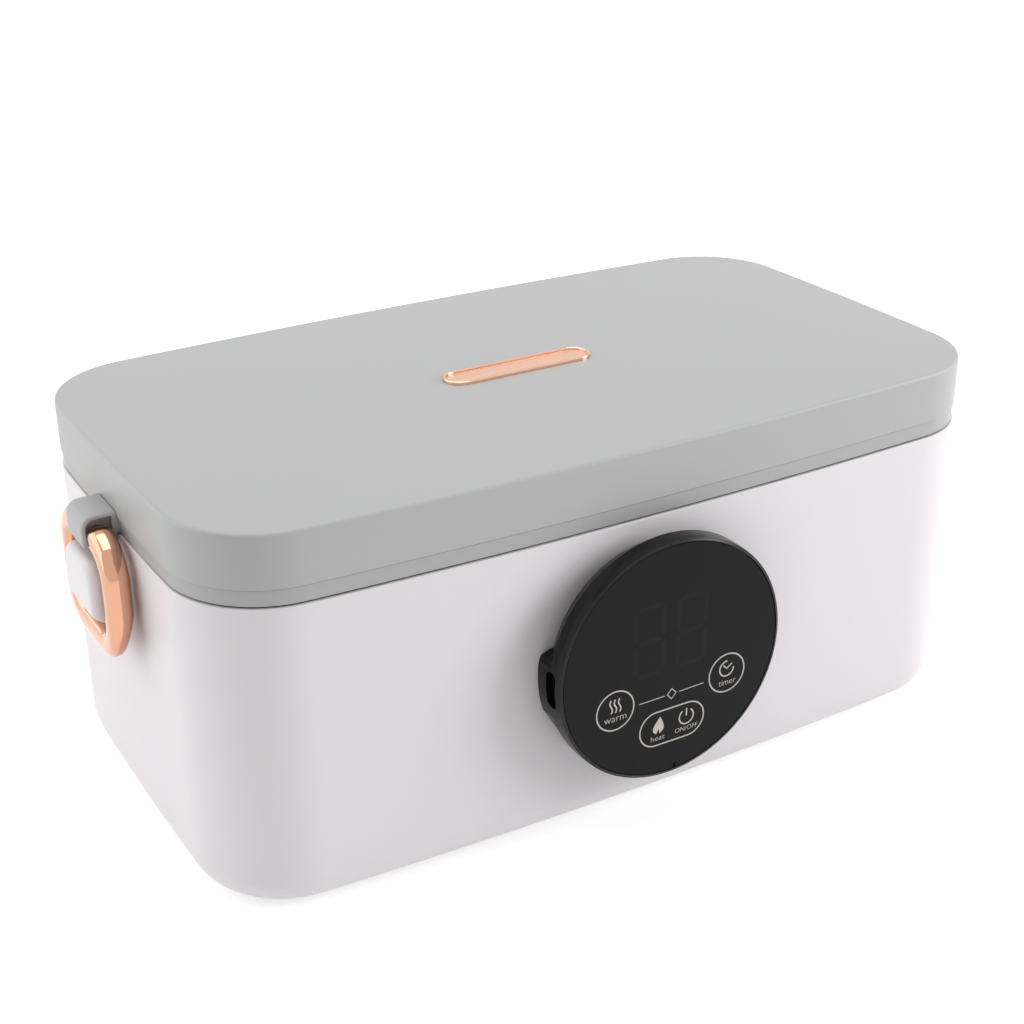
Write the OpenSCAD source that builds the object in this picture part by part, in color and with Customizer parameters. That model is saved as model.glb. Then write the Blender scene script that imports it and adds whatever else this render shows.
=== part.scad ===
// Electric lunch box: a bowed, round-cornered body with a lift-off lid, two ring clasps
// and a round control panel. Units are millimetres, +Z is up, the panel faces -Y.
// The origin is at the middle of the footprint, on the surface the feet stand on.

/* [Body] */
// Length of the body along X
body_len = 240; // [210:1:280]
// Depth of the body along Y, without the panel
body_dep = 135.3; // [120:0.1:160]
// Height of the body from its lower edge to its rim
body_h = 86.5; // [82:0.1:110]
// Radius of the four upright corners
corner_r = 26.5; // [22:0.5:32]
// How far each long side bows outward
bow_long = 4.2; // [1:0.1:8]
// How far each short side bows outward
bow_short = 1.5; // [0.5:0.1:4]
// Wall of the outer body
wall = 2.4; // [1.8:0.1:3]
// Radius of the rounded lower edge
lower_edge_r = 9.5; // [6:0.5:11]
// How far the feet stand out below the body
foot_h = 1; // [0.6:0.1:3]
// Diameter of a foot
foot_d = 14; // [10:0.5:18]

/* [Lid] */
// Height of the lid above the seam
lid_h = 18.7; // [16:0.1:26]
// Gap at the seam, which the gasket fills
seam_gap = 0.5; // [0.3:0.1:1.2]
// Height of the lower rim that shows under the cap
rim_h = 4.1; // [3:0.1:5]
// How far the lower rim is set back from the cap
rim_setback = 0.4; // [0.2:0.1:0.8]
// Wall of the lid's cap
lid_wall = 2.2; // [1.6:0.1:3]
// Radius of the lid's upper edge
lid_edge_r = 1.1; // [0.6:0.1:2]
// How far the skirt reaches below the seam
skirt_drop = 4.8; // [3:0.1:5.5]
// Length of the badge plate
plate_len = 46.5; // [30:0.5:60]
// Width of the badge plate
plate_w = 9.8; // [7:0.1:14]
// How far the badge plate stands out
plate_rise = 1; // [0.5:0.1:2]
// How far the lid lifts to come clear
lid_travel = 64; // [50:1:90]

/* [Clasps] */
// Width of a ring over its two side bars
ring_w = 39.2; // [34:0.1:46]
// Distance from the hinge axis to the middle of the lower bar
ring_drop = 28.5; // [26:0.5:34]
// Width of the ring's bar in the plane of the ring
ring_bar = 6.8; // [5.5:0.1:8]
// Depth of the ring's side bars
ring_depth = 6.8; // [5.8:0.1:7.4]
// Depth of the lower bar, which is relieved behind so that it rides off the lug
ring_low_depth = 4.7; // [4.2:0.1:5.2]
// Radius along the edges of the ring's bar
ring_edge_r = 2.2; // [1:0.1:2.3]
// Radius of the ring's corners along the middle of the bar
ring_corner_r = 8.7; // [7:0.1:9]
// Diameter of the ring's journal in the hook
journal_d = 5; // [4:0.1:5.4]
// Distance from the body's side to the hinge axis
hinge_out = 4.9; // [4.6:0.1:6]
// Height of the hinge axis below the seam
hinge_drop = 0.2; // [0:0.1:2]
// Width of the hook on the lid
hook_w = 13.2; // [11:0.1:14.6]
// How far the hook stands out from the body
hook_out = 9.2; // [8.6:0.1:11]
// Height of the hook above the hinge axis
hook_rise = 6.2; // [5:0.1:7.5]
// Turn of a ring from closed to fully open
clasp_turn = 176; // [150:1:178]
// How far a lug stands out from the body
lug_out = 10; // [8:0.1:11]
// Height of a lug's upper edge below the hinge axis
lug_top_drop = 5.3; // [5:0.1:7]
// Clearance between a lug and its ring
lug_gap = 0.6; // [0.5:0.1:1]

/* [Control panel] */
// Diameter of the control panel
panel_d = 68.7; // [60:0.1:72]
// How far the panel stands out from the body
panel_depth = 10.8; // [9.6:0.1:14]
// Height of the panel's centre above the body's lower edge
panel_up = 49.7; // [46:0.1:55]
// Diameter of the housing where it meets the body
panel_base_d = 61; // [54:0.5:64]
// Straight part of the housing's side
panel_side = 5.2; // [4:0.1:6]
// Width of the bezel round the lens
bezel_w = 0.9; // [0.6:0.1:2]
// Thickness of the lens
lens_t = 1.2; // [0.8:0.1:1.4]
// Height of the port opening
port_h = 10.2; // [9.6:0.1:12]
// Width of the port opening
port_w = 4.4; // [4.2:0.1:5]
// Height of the port's centre above the panel's centre
port_up = -0.8; // [-3:0.1:3]

/* [Tray and heater] */
// Height of the tray's floor above the body's lower edge
tray_up = 37; // [34:0.5:42]
// Gap between the body's outside and the tray's outside
tray_inset = 12; // [11.6:0.1:14]
// Sheet thickness of the tray
tray_sheet = 0.8; // [0.6:0.1:1.2]
// Radius of the tray's lower edge
tray_edge_r = 6; // [4:0.5:8]
// Wall of the inner liner
liner_wall = 1.6; // [1.2:0.1:2]
// Diameter of the vent plug in the tray's lid
vent_d = 9; // [7:0.5:12]
// Thickness of the heating plate
plate_t = 2; // [1.5:0.1:3]
// Length of the heater pad
pad_len = 150; // [120:1:160]
// Width of the heater pad
pad_w = 56; // [40:1:60]

/* [Hidden] */

// Colours, as the photograph shows them
shell_white = [0.93, 0.91, 0.93];
lid_grey = [0.74, 0.75, 0.75];
rose_gold = [0.93, 0.70, 0.58];
panel_black = [0.09, 0.09, 0.10];
lens_black = [0.05, 0.05, 0.06, 0.85];
steel = [0.78, 0.78, 0.80];
seal_grey = [0.28, 0.29, 0.30];
board_green = [0.10, 0.35, 0.22];

// Levels, from the surface it stands on
z_low = foot_h;
z_rim = z_low + body_h;
z_seam = z_rim + seam_gap;
z_step = z_seam + rim_h;
z_top = z_seam + lid_h;
z_hinge = z_seam - hinge_drop;
z_panel = z_low + panel_up;
z_tray = z_low + tray_up;

// The panel's flat seat on the bowed front, and the middle of the footprint
seat_y = body_dep / 2 + 0.05;
centre_y = (seat_y + panel_depth - body_dep / 2) / 2;

// Fine gaps and details
slip = 0.3;
fit = 0.1;
journal_gap = 0.06;
screw_d = 2.5;
pilot_d = 2.6;
head_d = 5;
head_h = 1.8;
through_d = 3.4;
smooth = 48;
eps = 0.01;

// Outline. Each side is one large arc and each corner one tangent arc, so that an inset
// only shortens every radius. The corner centre is where the two inner circles cross.
long_r = (pow(body_len / 2, 2) + pow(bow_long, 2)) / (2 * bow_long);
short_r = (pow(body_dep / 2, 2) + pow(bow_short, 2)) / (2 * bow_short);
long_c = [0, body_dep / 2 - long_r];
short_c = [body_len / 2 - short_r, 0];
across = short_c - long_c;
reach = norm(across);
along = (pow(long_r - corner_r, 2) - pow(short_r - corner_r, 2) + reach * reach) / (2 * reach);
aside = sqrt(pow(long_r - corner_r, 2) - along * along);
corner_c = long_c + along * across / reach + aside * [across[1], -across[0]] / reach;
short_turn = atan2(corner_c[1], corner_c[0] - short_c[0]);
long_turn = atan2(corner_c[1] - long_c[1], corner_c[0]);
short_steps = 2;
corner_steps = 7;
long_steps = 3;

// One quadrant as [centre x, centre y, radius, angle], from the X axis round to the Y axis
quadrant = concat(
    [for (i = [0 : short_steps - 1]) [short_c[0], 0, short_r, short_turn * i / short_steps]],
    [for (i = [0 : corner_steps - 1]) [corner_c[0], corner_c[1], corner_r,
        short_turn + (long_turn - short_turn) * i / corner_steps]],
    [for (i = [0 : long_steps]) [0, long_c[1], long_r,
        long_turn + (90 - long_turn) * i / long_steps]]);
quadrant_last = len(quadrant) - 1;
spokes = concat(
    [for (i = [0 : quadrant_last - 1]) quadrant[i]],
    [for (i = [quadrant_last : -1 : 1]) let (q = quadrant[i]) [-q[0], q[1], q[2], 180 - q[3]]],
    [for (i = [0 : quadrant_last - 1]) let (q = quadrant[i]) [-q[0], -q[1], q[2], 180 + q[3]]],
    [for (i = [quadrant_last : -1 : 1]) let (q = quadrant[i]) [q[0], -q[1], q[2], 360 - q[3]]]);
spoke_count = len(spokes);

// Points of the outline, inset by t
function outline(t) = [for (s = spokes)
    [s[0] + (s[2] - t) * cos(s[3]), s[1] + (s[2] - t) * sin(s[3])]];

// Rings of points, one for each [inset, height] of a profile
function rings_of(profile) = [for (p = profile) [for (q = outline(p[0])) [q[0], q[1], p[1]]]];

// Faces between ring i and ring k, when a ring has n points
function side_faces(i, k, n) = [for (j = [0 : n - 1]) let (m = (j + 1) % n)
    [i * n + j, k * n + j, k * n + m, i * n + m]];

// Quarter arc in the inset-height plane, from angle a to angle b, as [inset, height] pairs
function bend(t, z, r, a, b, steps) = [for (i = [0 : steps])
    let (w = a + (b - a) * i / steps) [t - r * cos(w), z + r * sin(w)]];

// Solid through a list of rings, closed by a flat face at each end
module loft(rings) {
    n = len(rings[0]);
    last = len(rings) - 1;
    polyhedron(
        points = [for (r = rings) each r],
        faces = concat(
            [[for (j = [0 : n - 1]) j]],
            [for (i = [0 : last - 1]) each side_faces(i, i + 1, n)],
            [[for (j = [n - 1 : -1 : 0]) last * n + j]]));
}

// Dish or lid: its profile starts on a face seen from below, runs outward and up, and ends
// on a face seen from above
module dish(profile) {
    loft(rings_of(profile));
}

// Band: a closed profile carried round the outline
module band(profile) {
    count = len(profile);
    polyhedron(
        points = [for (r = rings_of(profile)) each r],
        faces = [for (i = [0 : count - 1]) each side_faces(i, (i + 1) % count, spoke_count)]);
}

// Slab with the body's outline, inset by t
module slab(t, z0, z1) {
    translate([0, 0, z0])
        linear_extrude(z1 - z0)
            polygon(outline(t));
}

// Everything is drawn about the middle of the body and moved to the middle of the footprint
module on_body() {
    translate([0, centre_y, 0]) children();
}

// Places drawn for the +X side: side = 1 is the right clasp, side = -1 the left one
module on_side(side) {
    on_body()
        mirror([side > 0 ? 0 : 1, 0, 0])
            translate([body_len / 2, 0, 0])
                children();
}

// Panel frame: x across, y up, z out of the front of the body
module on_panel() {
    on_body()
        translate([0, -seat_y, z_panel])
            rotate([90, 0, 0])
                children();
}

module at_corners(x, y) {
    for (sx = [-1, 1])
        for (sy = [-1, 1])
            translate([sx * x, sy * y, 0])
                children();
}

module rod(d, z0, z1) {
    translate([0, 0, z0])
        cylinder(d = d, h = z1 - z0, $fn = smooth);
}

// Screw with its head's underside at z and its shank running up
module screw_up(z, length) {
    rod(screw_d, z - eps, z + length);
    difference() {
        rod(head_d, z - head_h, z);
        translate([0, 0, z - head_h + 0.5]) {
            cube([0.8, 3, 1.4], center = true);
            cube([3, 0.8, 1.4], center = true);
        }
    }
}

module round_rect(w, h, r) {
    square([w - 2 * r, h], center = true);
    square([w, h - 2 * r], center = true);
    for (sx = [-1, 1])
        for (sy = [-1, 1])
            translate([sx * (w / 2 - r), sy * (h / 2 - r)])
                circle(r = r, $fn = smooth);
}

// Lead: a six-sided tube along a path that lies in a plane square to a given direction
function unit(v) = v / norm(v);
function heading(path, i) = unit(path[min(i + 1, len(path) - 1)] - path[max(i - 1, 0)]);
module lead(path, d, square_to) {
    loft([for (i = [0 : len(path) - 1])
        let (v = cross(heading(path, i), square_to))
            [for (a = [0 : 60 : 300]) path[i] + d / 2 * (square_to * cos(a) + v * sin(a))]]);
}

// Body -----------------------------------------------------------------------------------

floor_t = 2.4;
opening_inset = 11;
ledge_inset = 19;
z_ledge = z_low + floor_t;
ledge_t = 2;
post_inset = 15;
post_d = 8;
post_xy = corner_c + (corner_r - post_inset) * [1, 1] / sqrt(2);
edge_centre_z = z_low + lower_edge_r;
inner_edge_r = lower_edge_r - wall;
// Angle at which the inner edge meets the top of the ledge
ledge_meet = -asin((edge_centre_z - z_ledge - ledge_t) / inner_edge_r);

// Liner and heater levels
z_liner_floor = z_tray - plate_t - liner_wall;
z_plate = z_tray - plate_t;
liner_inset = 8;
liner_flange_z = z_rim - 6.3;
platform_drop = 2.5;
pad_t = 1.5;
insulation_t = 4;
z_pad = z_plate - platform_drop;
z_insulation = z_pad - pad_t;
z_clamp = z_insulation - insulation_t;
clamp_t = 1;
clamp_xy = [pad_len / 2 + 11, pad_w / 2 - 2];
sensor_d = 8;

// Clasp derived sizes
ring_mid = ring_w / 2 - ring_bar / 2;
low_back = hinge_out + ring_depth / 2 - ring_low_depth;
turn_clear = asin((lug_out - low_back) / ring_drop);
lift_clear = turn_clear / clasp_turn * lid_travel;
z_low_bar = z_hinge - ring_drop;
// The lug's underside runs from just above the lower bar to a front edge that stays above
// the bar as it swings out while the lid rises
lug_back_z = z_low_bar + ring_bar / 2 + lug_gap;
lug_front_z = lug_back_z + lift_clear + ring_drop * (1 - cos(turn_clear)) - ring_edge_r / 3;
lug_top_z = z_hinge - lug_top_drop;
lug_half = ring_mid - ring_bar / 2 - 1.8;
lug_high = lug_top_z - lug_back_z;
lug_mid_z = (lug_top_z + lug_back_z) / 2;
lug_corner_r = 5.6;
lug_steps = 8;
lug_screw_z = [lug_back_z + 6, lug_top_z - 6];

// Panel derived sizes
panel_r = panel_d / 2;
seat_t = wall + 0.3;
bezel_h = 2;
bezel_back = panel_depth - bezel_h;
lens_back = panel_depth - 0.15 - lens_t;
boss_ring_r = 22;
board_r = panel_base_d / 2 - 1;
boss_h = 5;
port_depth = 6.1;
port_back = 24.8;
wire_hole_d = 12;

module outer_body() {
    color(shell_white)
        on_body() {
            difference() {
                union() {
                    band(concat(
                        [[opening_inset, z_low]],
                        bend(lower_edge_r, edge_centre_z, lower_edge_r, -90, 0, 5),
                        [[0, z_rim - 0.4], [0.4, z_rim], [wall, z_rim]],
                        bend(lower_edge_r, edge_centre_z, inner_edge_r, 0, ledge_meet, 3),
                        [[ledge_inset, z_ledge + ledge_t], [ledge_inset, z_ledge],
                            [opening_inset, z_ledge]]));
                    // Flat seat for the panel on the bowed front
                    translate([0, -seat_y, z_panel])
                        rotate([-90, 0, 0])
                            rod(panel_base_d - 1, 0, seat_t);
                    at_corners(post_xy[0], post_xy[1])
                        rod(post_d, z_ledge + eps, z_liner_floor);
                }
                at_corners(post_xy[0], post_xy[1]) {
                    rod(pilot_d, z_ledge - 1, z_ledge + 12);
                    rod(pilot_d, z_liner_floor - 10, z_liner_floor + 1);
                }
                // Wire hole and screw holes behind the panel
                translate([0, -seat_y, z_panel])
                    rotate([-90, 0, 0]) {
                        rod(wire_hole_d, -1, seat_t + 1);
                        for (a = [30, 150, 270])
                            rotate([0, 0, -a])
                                translate([boss_ring_r, 0, 0])
                                    rod(through_d, -1, seat_t + 1);
                    }
                // Screw holes behind the lugs
                for (z = lug_screw_z)
                    translate([0, 0, z])
                        rotate([0, 90, 0])
                            for (s = [-1, 1])
                                rod(through_d, s > 0 ? body_len / 2 - wall - 2 : -body_len / 2 - 2,
                                    s > 0 ? body_len / 2 + 2 : -body_len / 2 + wall + 2);
            }
        }
}

module inner_liner() {
    color([0.85, 0.86, 0.87])
        on_body()
            difference() {
                dish(concat(
                    [[liner_inset + 3, z_liner_floor], [liner_inset, z_liner_floor + 3],
                        [liner_inset, liner_flange_z - liner_wall],
                        [wall + slip, liner_flange_z - liner_wall], [wall + slip, liner_flange_z],
                        [liner_inset + liner_wall, liner_flange_z],
                        [liner_inset + liner_wall, z_liner_floor + liner_wall + 2],
                        [liner_inset + liner_wall + 2, z_liner_floor + liner_wall]]));
                slab(22, z_liner_floor - 1, z_liner_floor + liner_wall + 1);
                at_corners(post_xy[0], post_xy[1])
                    rod(through_d, z_liner_floor - 1, z_liner_floor + liner_wall + 1);
            }
}

module liner_screws() {
    color(steel)
        on_body()
            at_corners(post_xy[0], post_xy[1])
                mirror([0, 0, 1])
                    screw_up(-(z_liner_floor + liner_wall), 8);
}

module heating_plate() {
    color([0.70, 0.71, 0.73])
        on_body()
            difference() {
                union() {
                    slab(17.5, z_plate, z_tray);
                    slab(23, z_pad, z_plate + eps);
                    at_corners(clamp_xy[0], clamp_xy[1])
                        rod(7, z_clamp, z_pad + eps);
                }
                at_corners(clamp_xy[0], clamp_xy[1])
                    rod(pilot_d, z_clamp - 1, z_pad);
                // Clearance round the screws that hold the liner
                at_corners(post_xy[0], post_xy[1])
                    rod(head_d + 2, z_plate - 1, z_tray + 1);
            }
}

// Places where the heater's two leads pass down through the insulation and its clamp
lead_xy = [[-56, 5.8], [-56, 10.2]];
lead_d = 1.8;

module lead_holes() {
    circle(d = sensor_d + 1, $fn = smooth);
    for (p = lead_xy)
        translate(p)
            circle(d = lead_d + 1, $fn = smooth);
}

module heater_pad() {
    color([0.80, 0.36, 0.20])
        on_body()
            translate([0, 0, z_insulation])
                linear_extrude(pad_t)
                    difference() {
                        round_rect(pad_len, pad_w, 6);
                        circle(d = sensor_d + 1, $fn = smooth);
                    }
}

module insulation_pad() {
    color([0.92, 0.90, 0.84])
        on_body()
            translate([0, 0, z_clamp])
                linear_extrude(insulation_t)
                    difference() {
                        round_rect(pad_len, pad_w, 6);
                        lead_holes();
                    }
}

module clamp_plate() {
    color(steel)
        on_body()
            translate([0, 0, z_clamp - clamp_t])
                linear_extrude(clamp_t)
                    difference() {
                        round_rect(2 * clamp_xy[0] + 12, 2 * clamp_xy[1] + 12, 6);
                        lead_holes();
                        at_corners(clamp_xy[0], clamp_xy[1])
                            circle(d = through_d, $fn = smooth);
                    }
}

module clamp_screws() {
    color(steel)
        on_body()
            at_corners(clamp_xy[0], clamp_xy[1])
                screw_up(z_clamp - clamp_t, 5);
}

module temperature_sensor() {
    color([0.75, 0.76, 0.78])
        on_body()
            union() {
                rod(sensor_d, z_clamp - 3, z_pad);
                rod(sensor_d + 4, z_clamp - clamp_t - 1.2, z_clamp - clamp_t);
                rod(3, z_clamp - 6, z_clamp - 3 + eps);
            }
}

module thermal_fuse() {
    color([0.90, 0.88, 0.80])
        on_body()
            translate([40, 0, z_clamp - clamp_t - 2])
                rotate([0, 90, 0]) {
                    rod(4, -6, 6);
                    rod(1, -14, 14);
                }
}

board_size = [92, 62];
board_t = 1.6;
z_board = z_ledge + 6.4;
board_hole = [board_size[0] / 2 - 5, board_size[1] / 2 - 5];

module power_board() {
    on_body()
        union() {
            color(board_green)
                translate([0, 0, z_board])
                    linear_extrude(board_t)
                        difference() {
                            round_rect(board_size[0], board_size[1], 2);
                            at_corners(board_hole[0], board_hole[1])
                                circle(d = 3, $fn = smooth);
                        }
            z_part = z_board + board_t - eps;
            color([0.15, 0.15, 0.16]) {
                translate([-30, -14, z_part]) cube([16, 12, 9]);
                translate([-6, 8, z_part]) cube([14, 10, 6]);
            }
            color([0.25, 0.30, 0.55])
                for (x = [16, 27])
                    translate([x, -10, 0]) rod(8, z_part, z_part + 9);
            color([0.93, 0.92, 0.88]) {
                translate([-40, 4, z_part]) cube([8, 12, 5]);
                translate([-6, -27, z_part]) cube([12, 7, 5]);
            }
        }
}

module board_screws() {
    color(steel)
        on_body()
            at_corners(board_hole[0], board_hole[1])
                mirror([0, 0, 1])
                    screw_up(-(z_board + board_t), 5.5);
}

module heater_leads() {
    z_bend = z_clamp - clamp_t - 0.5;
    z_end = z_board + board_t + 5.02;
    z_drop = z_end + 2.5;
    sweep = 20;
    color([0.75, 0.15, 0.12])
        on_body()
            for (p = lead_xy)
                lead(concat(
                    [[p[0], p[1], z_insulation], [p[0], p[1], z_bend + 2]],
                    [for (i = [0 : 6])
                        [p[0] + sweep / 2 * (1 - cos(i * 30)), p[1],
                            z_bend + (z_drop - z_bend) * i / 6]],
                    [[p[0] + sweep, p[1], z_end]]),
                    lead_d, [0, 1, 0]);
}

// Lead from behind the panel's board, down inside the wall to the power board
module panel_lead() {
    y_drop = -seat_y + wall + 3.3;
    z_end = z_board + board_t + 5;
    color([0.12, 0.12, 0.13])
        on_body()
            lead([[0, -seat_y - 3, z_panel],
                [0, y_drop - 2.2, z_panel],
                [0, y_drop - 0.6, z_panel - 1.2],
                [0, y_drop, z_panel - 4],
                [0, y_drop, z_liner_floor - 2],
                [0, y_drop + 1, z_liner_floor - 5.5],
                [0, y_drop + 5, z_liner_floor - 9],
                [0, -33, z_end + 7],
                [0, -25, z_end + 6],
                [0, -23, z_end + 3],
                [0, -23, z_end + 0.02]], 3, [1, 0, 0]);
}

// Base -----------------------------------------------------------------------------------

cover_t = 2.1;
z_cover = z_ledge - cover_t - fit;
foot_xy = [body_len / 2 - 38, body_dep / 2 - 30];
foot_seat = 1.1;
head_seat = 1.3;
vent_rows = 7;
vent_pitch = 7;
vent_len = 22;
vent_gap = 2;

module base_cover() {
    color([0.80, 0.80, 0.81])
        on_body()
            difference() {
                union() {
                    slab(opening_inset + 0.3, z_cover, z_cover + cover_t);
                    at_corners(board_hole[0], board_hole[1])
                        rod(7, z_cover + cover_t - eps, z_board);
                }
                at_corners(board_hole[0], board_hole[1])
                    rod(pilot_d, z_cover + cover_t, z_board + 1);
                at_corners(post_xy[0], post_xy[1]) {
                    rod(through_d, z_cover - 1, z_cover + cover_t + 1);
                    rod(head_d + 1, z_cover - 1, z_cover + head_seat);
                }
                at_corners(foot_xy[0], foot_xy[1])
                    rod(foot_d + 0.1, z_cover - 1, z_cover + foot_seat);
                for (side = [-1, 1])
                    for (i = [0 : vent_rows - 1])
                        translate([side * 68 + (i - (vent_rows - 1) / 2) * vent_pitch, 0, z_cover - 1])
                            linear_extrude(cover_t + 2)
                                round_rect(vent_gap, vent_len, vent_gap / 2 - eps);
            }
}

module base_screws() {
    color(steel)
        on_body()
            at_corners(post_xy[0], post_xy[1])
                screw_up(z_cover + head_seat, 10);
}

module feet() {
    color(seal_grey)
        on_body()
            at_corners(foot_xy[0], foot_xy[1])
                rod(foot_d, 0, z_cover + foot_seat);
}

// Clasps ---------------------------------------------------------------------------------

// Lower edge of a lug at a distance x from the body: level, then sloping up and out
function lug_low(x) = lug_back_z
    + max(0, x - low_back) * (lug_front_z - lug_back_z) / (lug_out - low_back);

// Ring of points round a lug at a depth and inset [depth, inset]
function lug_ring(p) =
    let (r = lug_corner_r - p[1], y = lug_half - lug_corner_r, z = lug_high / 2 - lug_corner_r)
        [for (k = [0 : 3]) for (i = [0 : lug_steps])
            let (a = 90 * (k + i / lug_steps), sy = k == 0 || k == 3 ? 1 : -1, sz = k < 2 ? 1 : -1)
                [p[0], sy * y + r * cos(a),
                    max(lug_mid_z + sz * z + r * sin(a), lug_low(p[0]))]];

// Lug: a pillow-fronted block
module catch_lug(side) {
    color(shell_white)
        on_side(side)
            difference() {
                loft([for (p = [[0, 0], [low_back, 0], [lug_out - 1.9, 0], [lug_out - 0.7, 0.6],
                    [lug_out, 2]]) lug_ring(p)]);
                for (z = lug_screw_z)
                    translate([0, 0, z])
                        rotate([0, 90, 0])
                            rod(pilot_d, -1, 6);
            }
}

module lug_screws() {
    color(steel)
        for (side = [-1, 1])
            on_side(side)
                for (z = lug_screw_z)
                    translate([0, 0, z])
                        rotate([0, 90, 0])
                            screw_up(-wall - fit / 2, 5 + wall);
}

// Section of the ring's bar: x across the bar, y outward from the body, front face fixed
module bar_section(depth) {
    translate([0, ring_depth / 2 - depth / 2])
        round_rect(ring_bar, depth, ring_edge_r);
}

// Ring drawn flat: x across, y up, z outward, origin on the hinge axis
module clasp_ring(side) {
    bend_x = ring_mid - ring_corner_r;
    color(rose_gold)
        on_side(side)
            translate([hinge_out, 0, z_hinge])
                rotate([90, 0, 90])
                    union() {
                        for (s = [-1, 1])
                            mirror([s > 0 ? 0 : 1, 0, 0]) {
                                translate([bend_x, -ring_corner_r, 0])
                                    rotate_extrude(angle = 90, $fn = smooth)
                                        translate([ring_corner_r, 0])
                                            bar_section(ring_depth);
                                translate([ring_mid, -ring_corner_r, 0])
                                    rotate([90, 0, 0])
                                        linear_extrude(ring_drop - 2 * ring_corner_r)
                                            bar_section(ring_depth);
                                translate([bend_x, ring_corner_r - ring_drop, 0])
                                    rotate([0, 0, -90])
                                        rotate_extrude(angle = 90, $fn = smooth)
                                            translate([ring_corner_r, 0])
                                                bar_section(ring_low_depth);
                            }
                        translate([-bend_x, -ring_drop, 0])
                            rotate([90, 0, 90])
                                linear_extrude(2 * bend_x)
                                    bar_section(ring_low_depth);
                        rotate([0, 90, 0])
                            rod(journal_d, -bend_x - 1, bend_x + 1);
                    }
}

// Section of the hood, x outward from the body: square behind, round in front
module hood(x_back, x_front, z_bottom, z_roof, shoulder) {
    translate([x_back, z_bottom])
        square([x_front - x_back, z_roof - shoulder - z_bottom]);
    translate([x_back, z_bottom])
        square([x_front - shoulder - x_back, z_roof - z_bottom]);
    translate([x_front - shoulder, z_roof - shoulder])
        circle(r = shoulder, $fn = smooth);
}

// Hook of the lid: a hood over the journal, hollow at both ends and open below through a
// throat that is narrower than the journal's seat
module hook() {
    shoulder = 3.5;
    z_hook = z_hinge - 1.8;
    z_roof = z_hinge + hook_rise;
    hood_wall = 1;
    pocket = 2.2;
    difference() {
        translate([0, hook_w / 2, 0])
            rotate([90, 0, 0])
                linear_extrude(hook_w)
                    difference() {
                        union() {
                            hood(slip, hook_out, z_hook, z_roof, shoulder);
                            translate([fit / 2, z_seam + 0.2])
                                square([hinge_out, z_roof - z_seam - 0.2]);
                            translate([-2, z_seam + 0.2])
                                square([3, rim_h - 0.3]);
                        }
                        translate([hinge_out, z_hinge])
                            circle(d = journal_d + 2 * journal_gap, $fn = smooth);
                        translate([hinge_out - 0.44 * journal_d, z_hook - 1])
                            square([0.88 * journal_d, z_hinge - z_hook + 1]);
                    }
        for (y = [pocket, hook_w + 1])
            translate([0, y - hook_w / 2, 0])
                rotate([90, 0, 0])
                    linear_extrude(pocket + 1)
                        hood(slip + hood_wall, hook_out - hood_wall, z_hook - 1,
                            z_roof - hood_wall, shoulder - hood_wall);
    }
}

// Lid ------------------------------------------------------------------------------------

panel_low = z_seam + 0.2;
panel_high = panel_low + 2;
skirt_inset = 5.2;
skirt_t = 1.8;
z_ceiling = z_top - lid_wall;
lid_boss_xy = [body_len / 2 - 42, body_dep / 2 - 26];
lid_boss_d = 8;
plate_seat = 0.5;

module lid_cap() {
    color(lid_grey)
        on_body()
            difference() {
                union() {
                    dish(concat(
                        [[lid_wall, z_ceiling], [lid_wall, z_step], [0, z_step]],
                        bend(lid_edge_r, z_top - lid_edge_r, lid_edge_r, 0, 90, 3)));
                    at_corners(lid_boss_xy[0], lid_boss_xy[1])
                        rod(lid_boss_d, panel_high, z_ceiling + eps);
                }
                at_corners(lid_boss_xy[0], lid_boss_xy[1])
                    rod(pilot_d, panel_high - 1, panel_high + 9);
                translate([0, 0, z_top - plate_seat])
                    linear_extrude(plate_seat + 1)
                        stadium(plate_len + 0.2, plate_w + 0.2);
            }
}

module lid_base() {
    rib_inset = lid_wall + fit;
    color(lid_grey)
        union() {
            on_body()
                difference() {
                    dish([[skirt_inset + skirt_t, panel_low],
                        [skirt_inset + skirt_t, z_seam - skirt_drop],
                        [skirt_inset + 0.4, z_seam - skirt_drop],
                        [skirt_inset, z_seam - skirt_drop + 0.8],
                        [skirt_inset, z_seam], [rim_setback, z_seam], [rim_setback, z_step],
                        [rib_inset, z_step], [rib_inset, z_step + 4], [rib_inset + 1.8, z_step + 4],
                        [rib_inset + 1.8, panel_high]]);
                    at_corners(lid_boss_xy[0], lid_boss_xy[1]) {
                        rod(through_d, panel_low - 1, panel_high + 1);
                        rod(head_d + 1, panel_low - 1, panel_low + 0.9);
                    }
                }
            for (side = [-1, 1])
                on_side(side) hook();
        }
}

module lid_insulation() {
    color([0.95, 0.95, 0.93])
        on_body()
            difference() {
                slab(lid_wall + 4.5, panel_high, z_ceiling - 1);
                at_corners(lid_boss_xy[0], lid_boss_xy[1])
                    rod(lid_boss_d + 1, panel_high - 1, z_ceiling);
            }
}

module lid_gasket() {
    color(seal_grey)
        on_body()
            difference() {
                slab(1, z_rim, z_seam);
                slab(skirt_inset - 0.1, z_rim - 1, z_seam + 1);
            }
}

module stadium(length, width) {
    square([length - width, width], center = true);
    for (s = [-1, 1])
        translate([s * (length - width) / 2, 0])
            circle(d = width, $fn = smooth);
}

module lid_plate() {
    lip = 0.9;
    color(rose_gold)
        on_body()
            translate([0, 0, z_top - plate_seat])
                difference() {
                    linear_extrude(plate_seat + plate_rise)
                        stadium(plate_len, plate_w);
                    translate([0, 0, plate_seat + plate_rise - 0.5])
                        linear_extrude(1)
                            stadium(plate_len - 2 * lip, plate_w - 2 * lip);
                }
}

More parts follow.
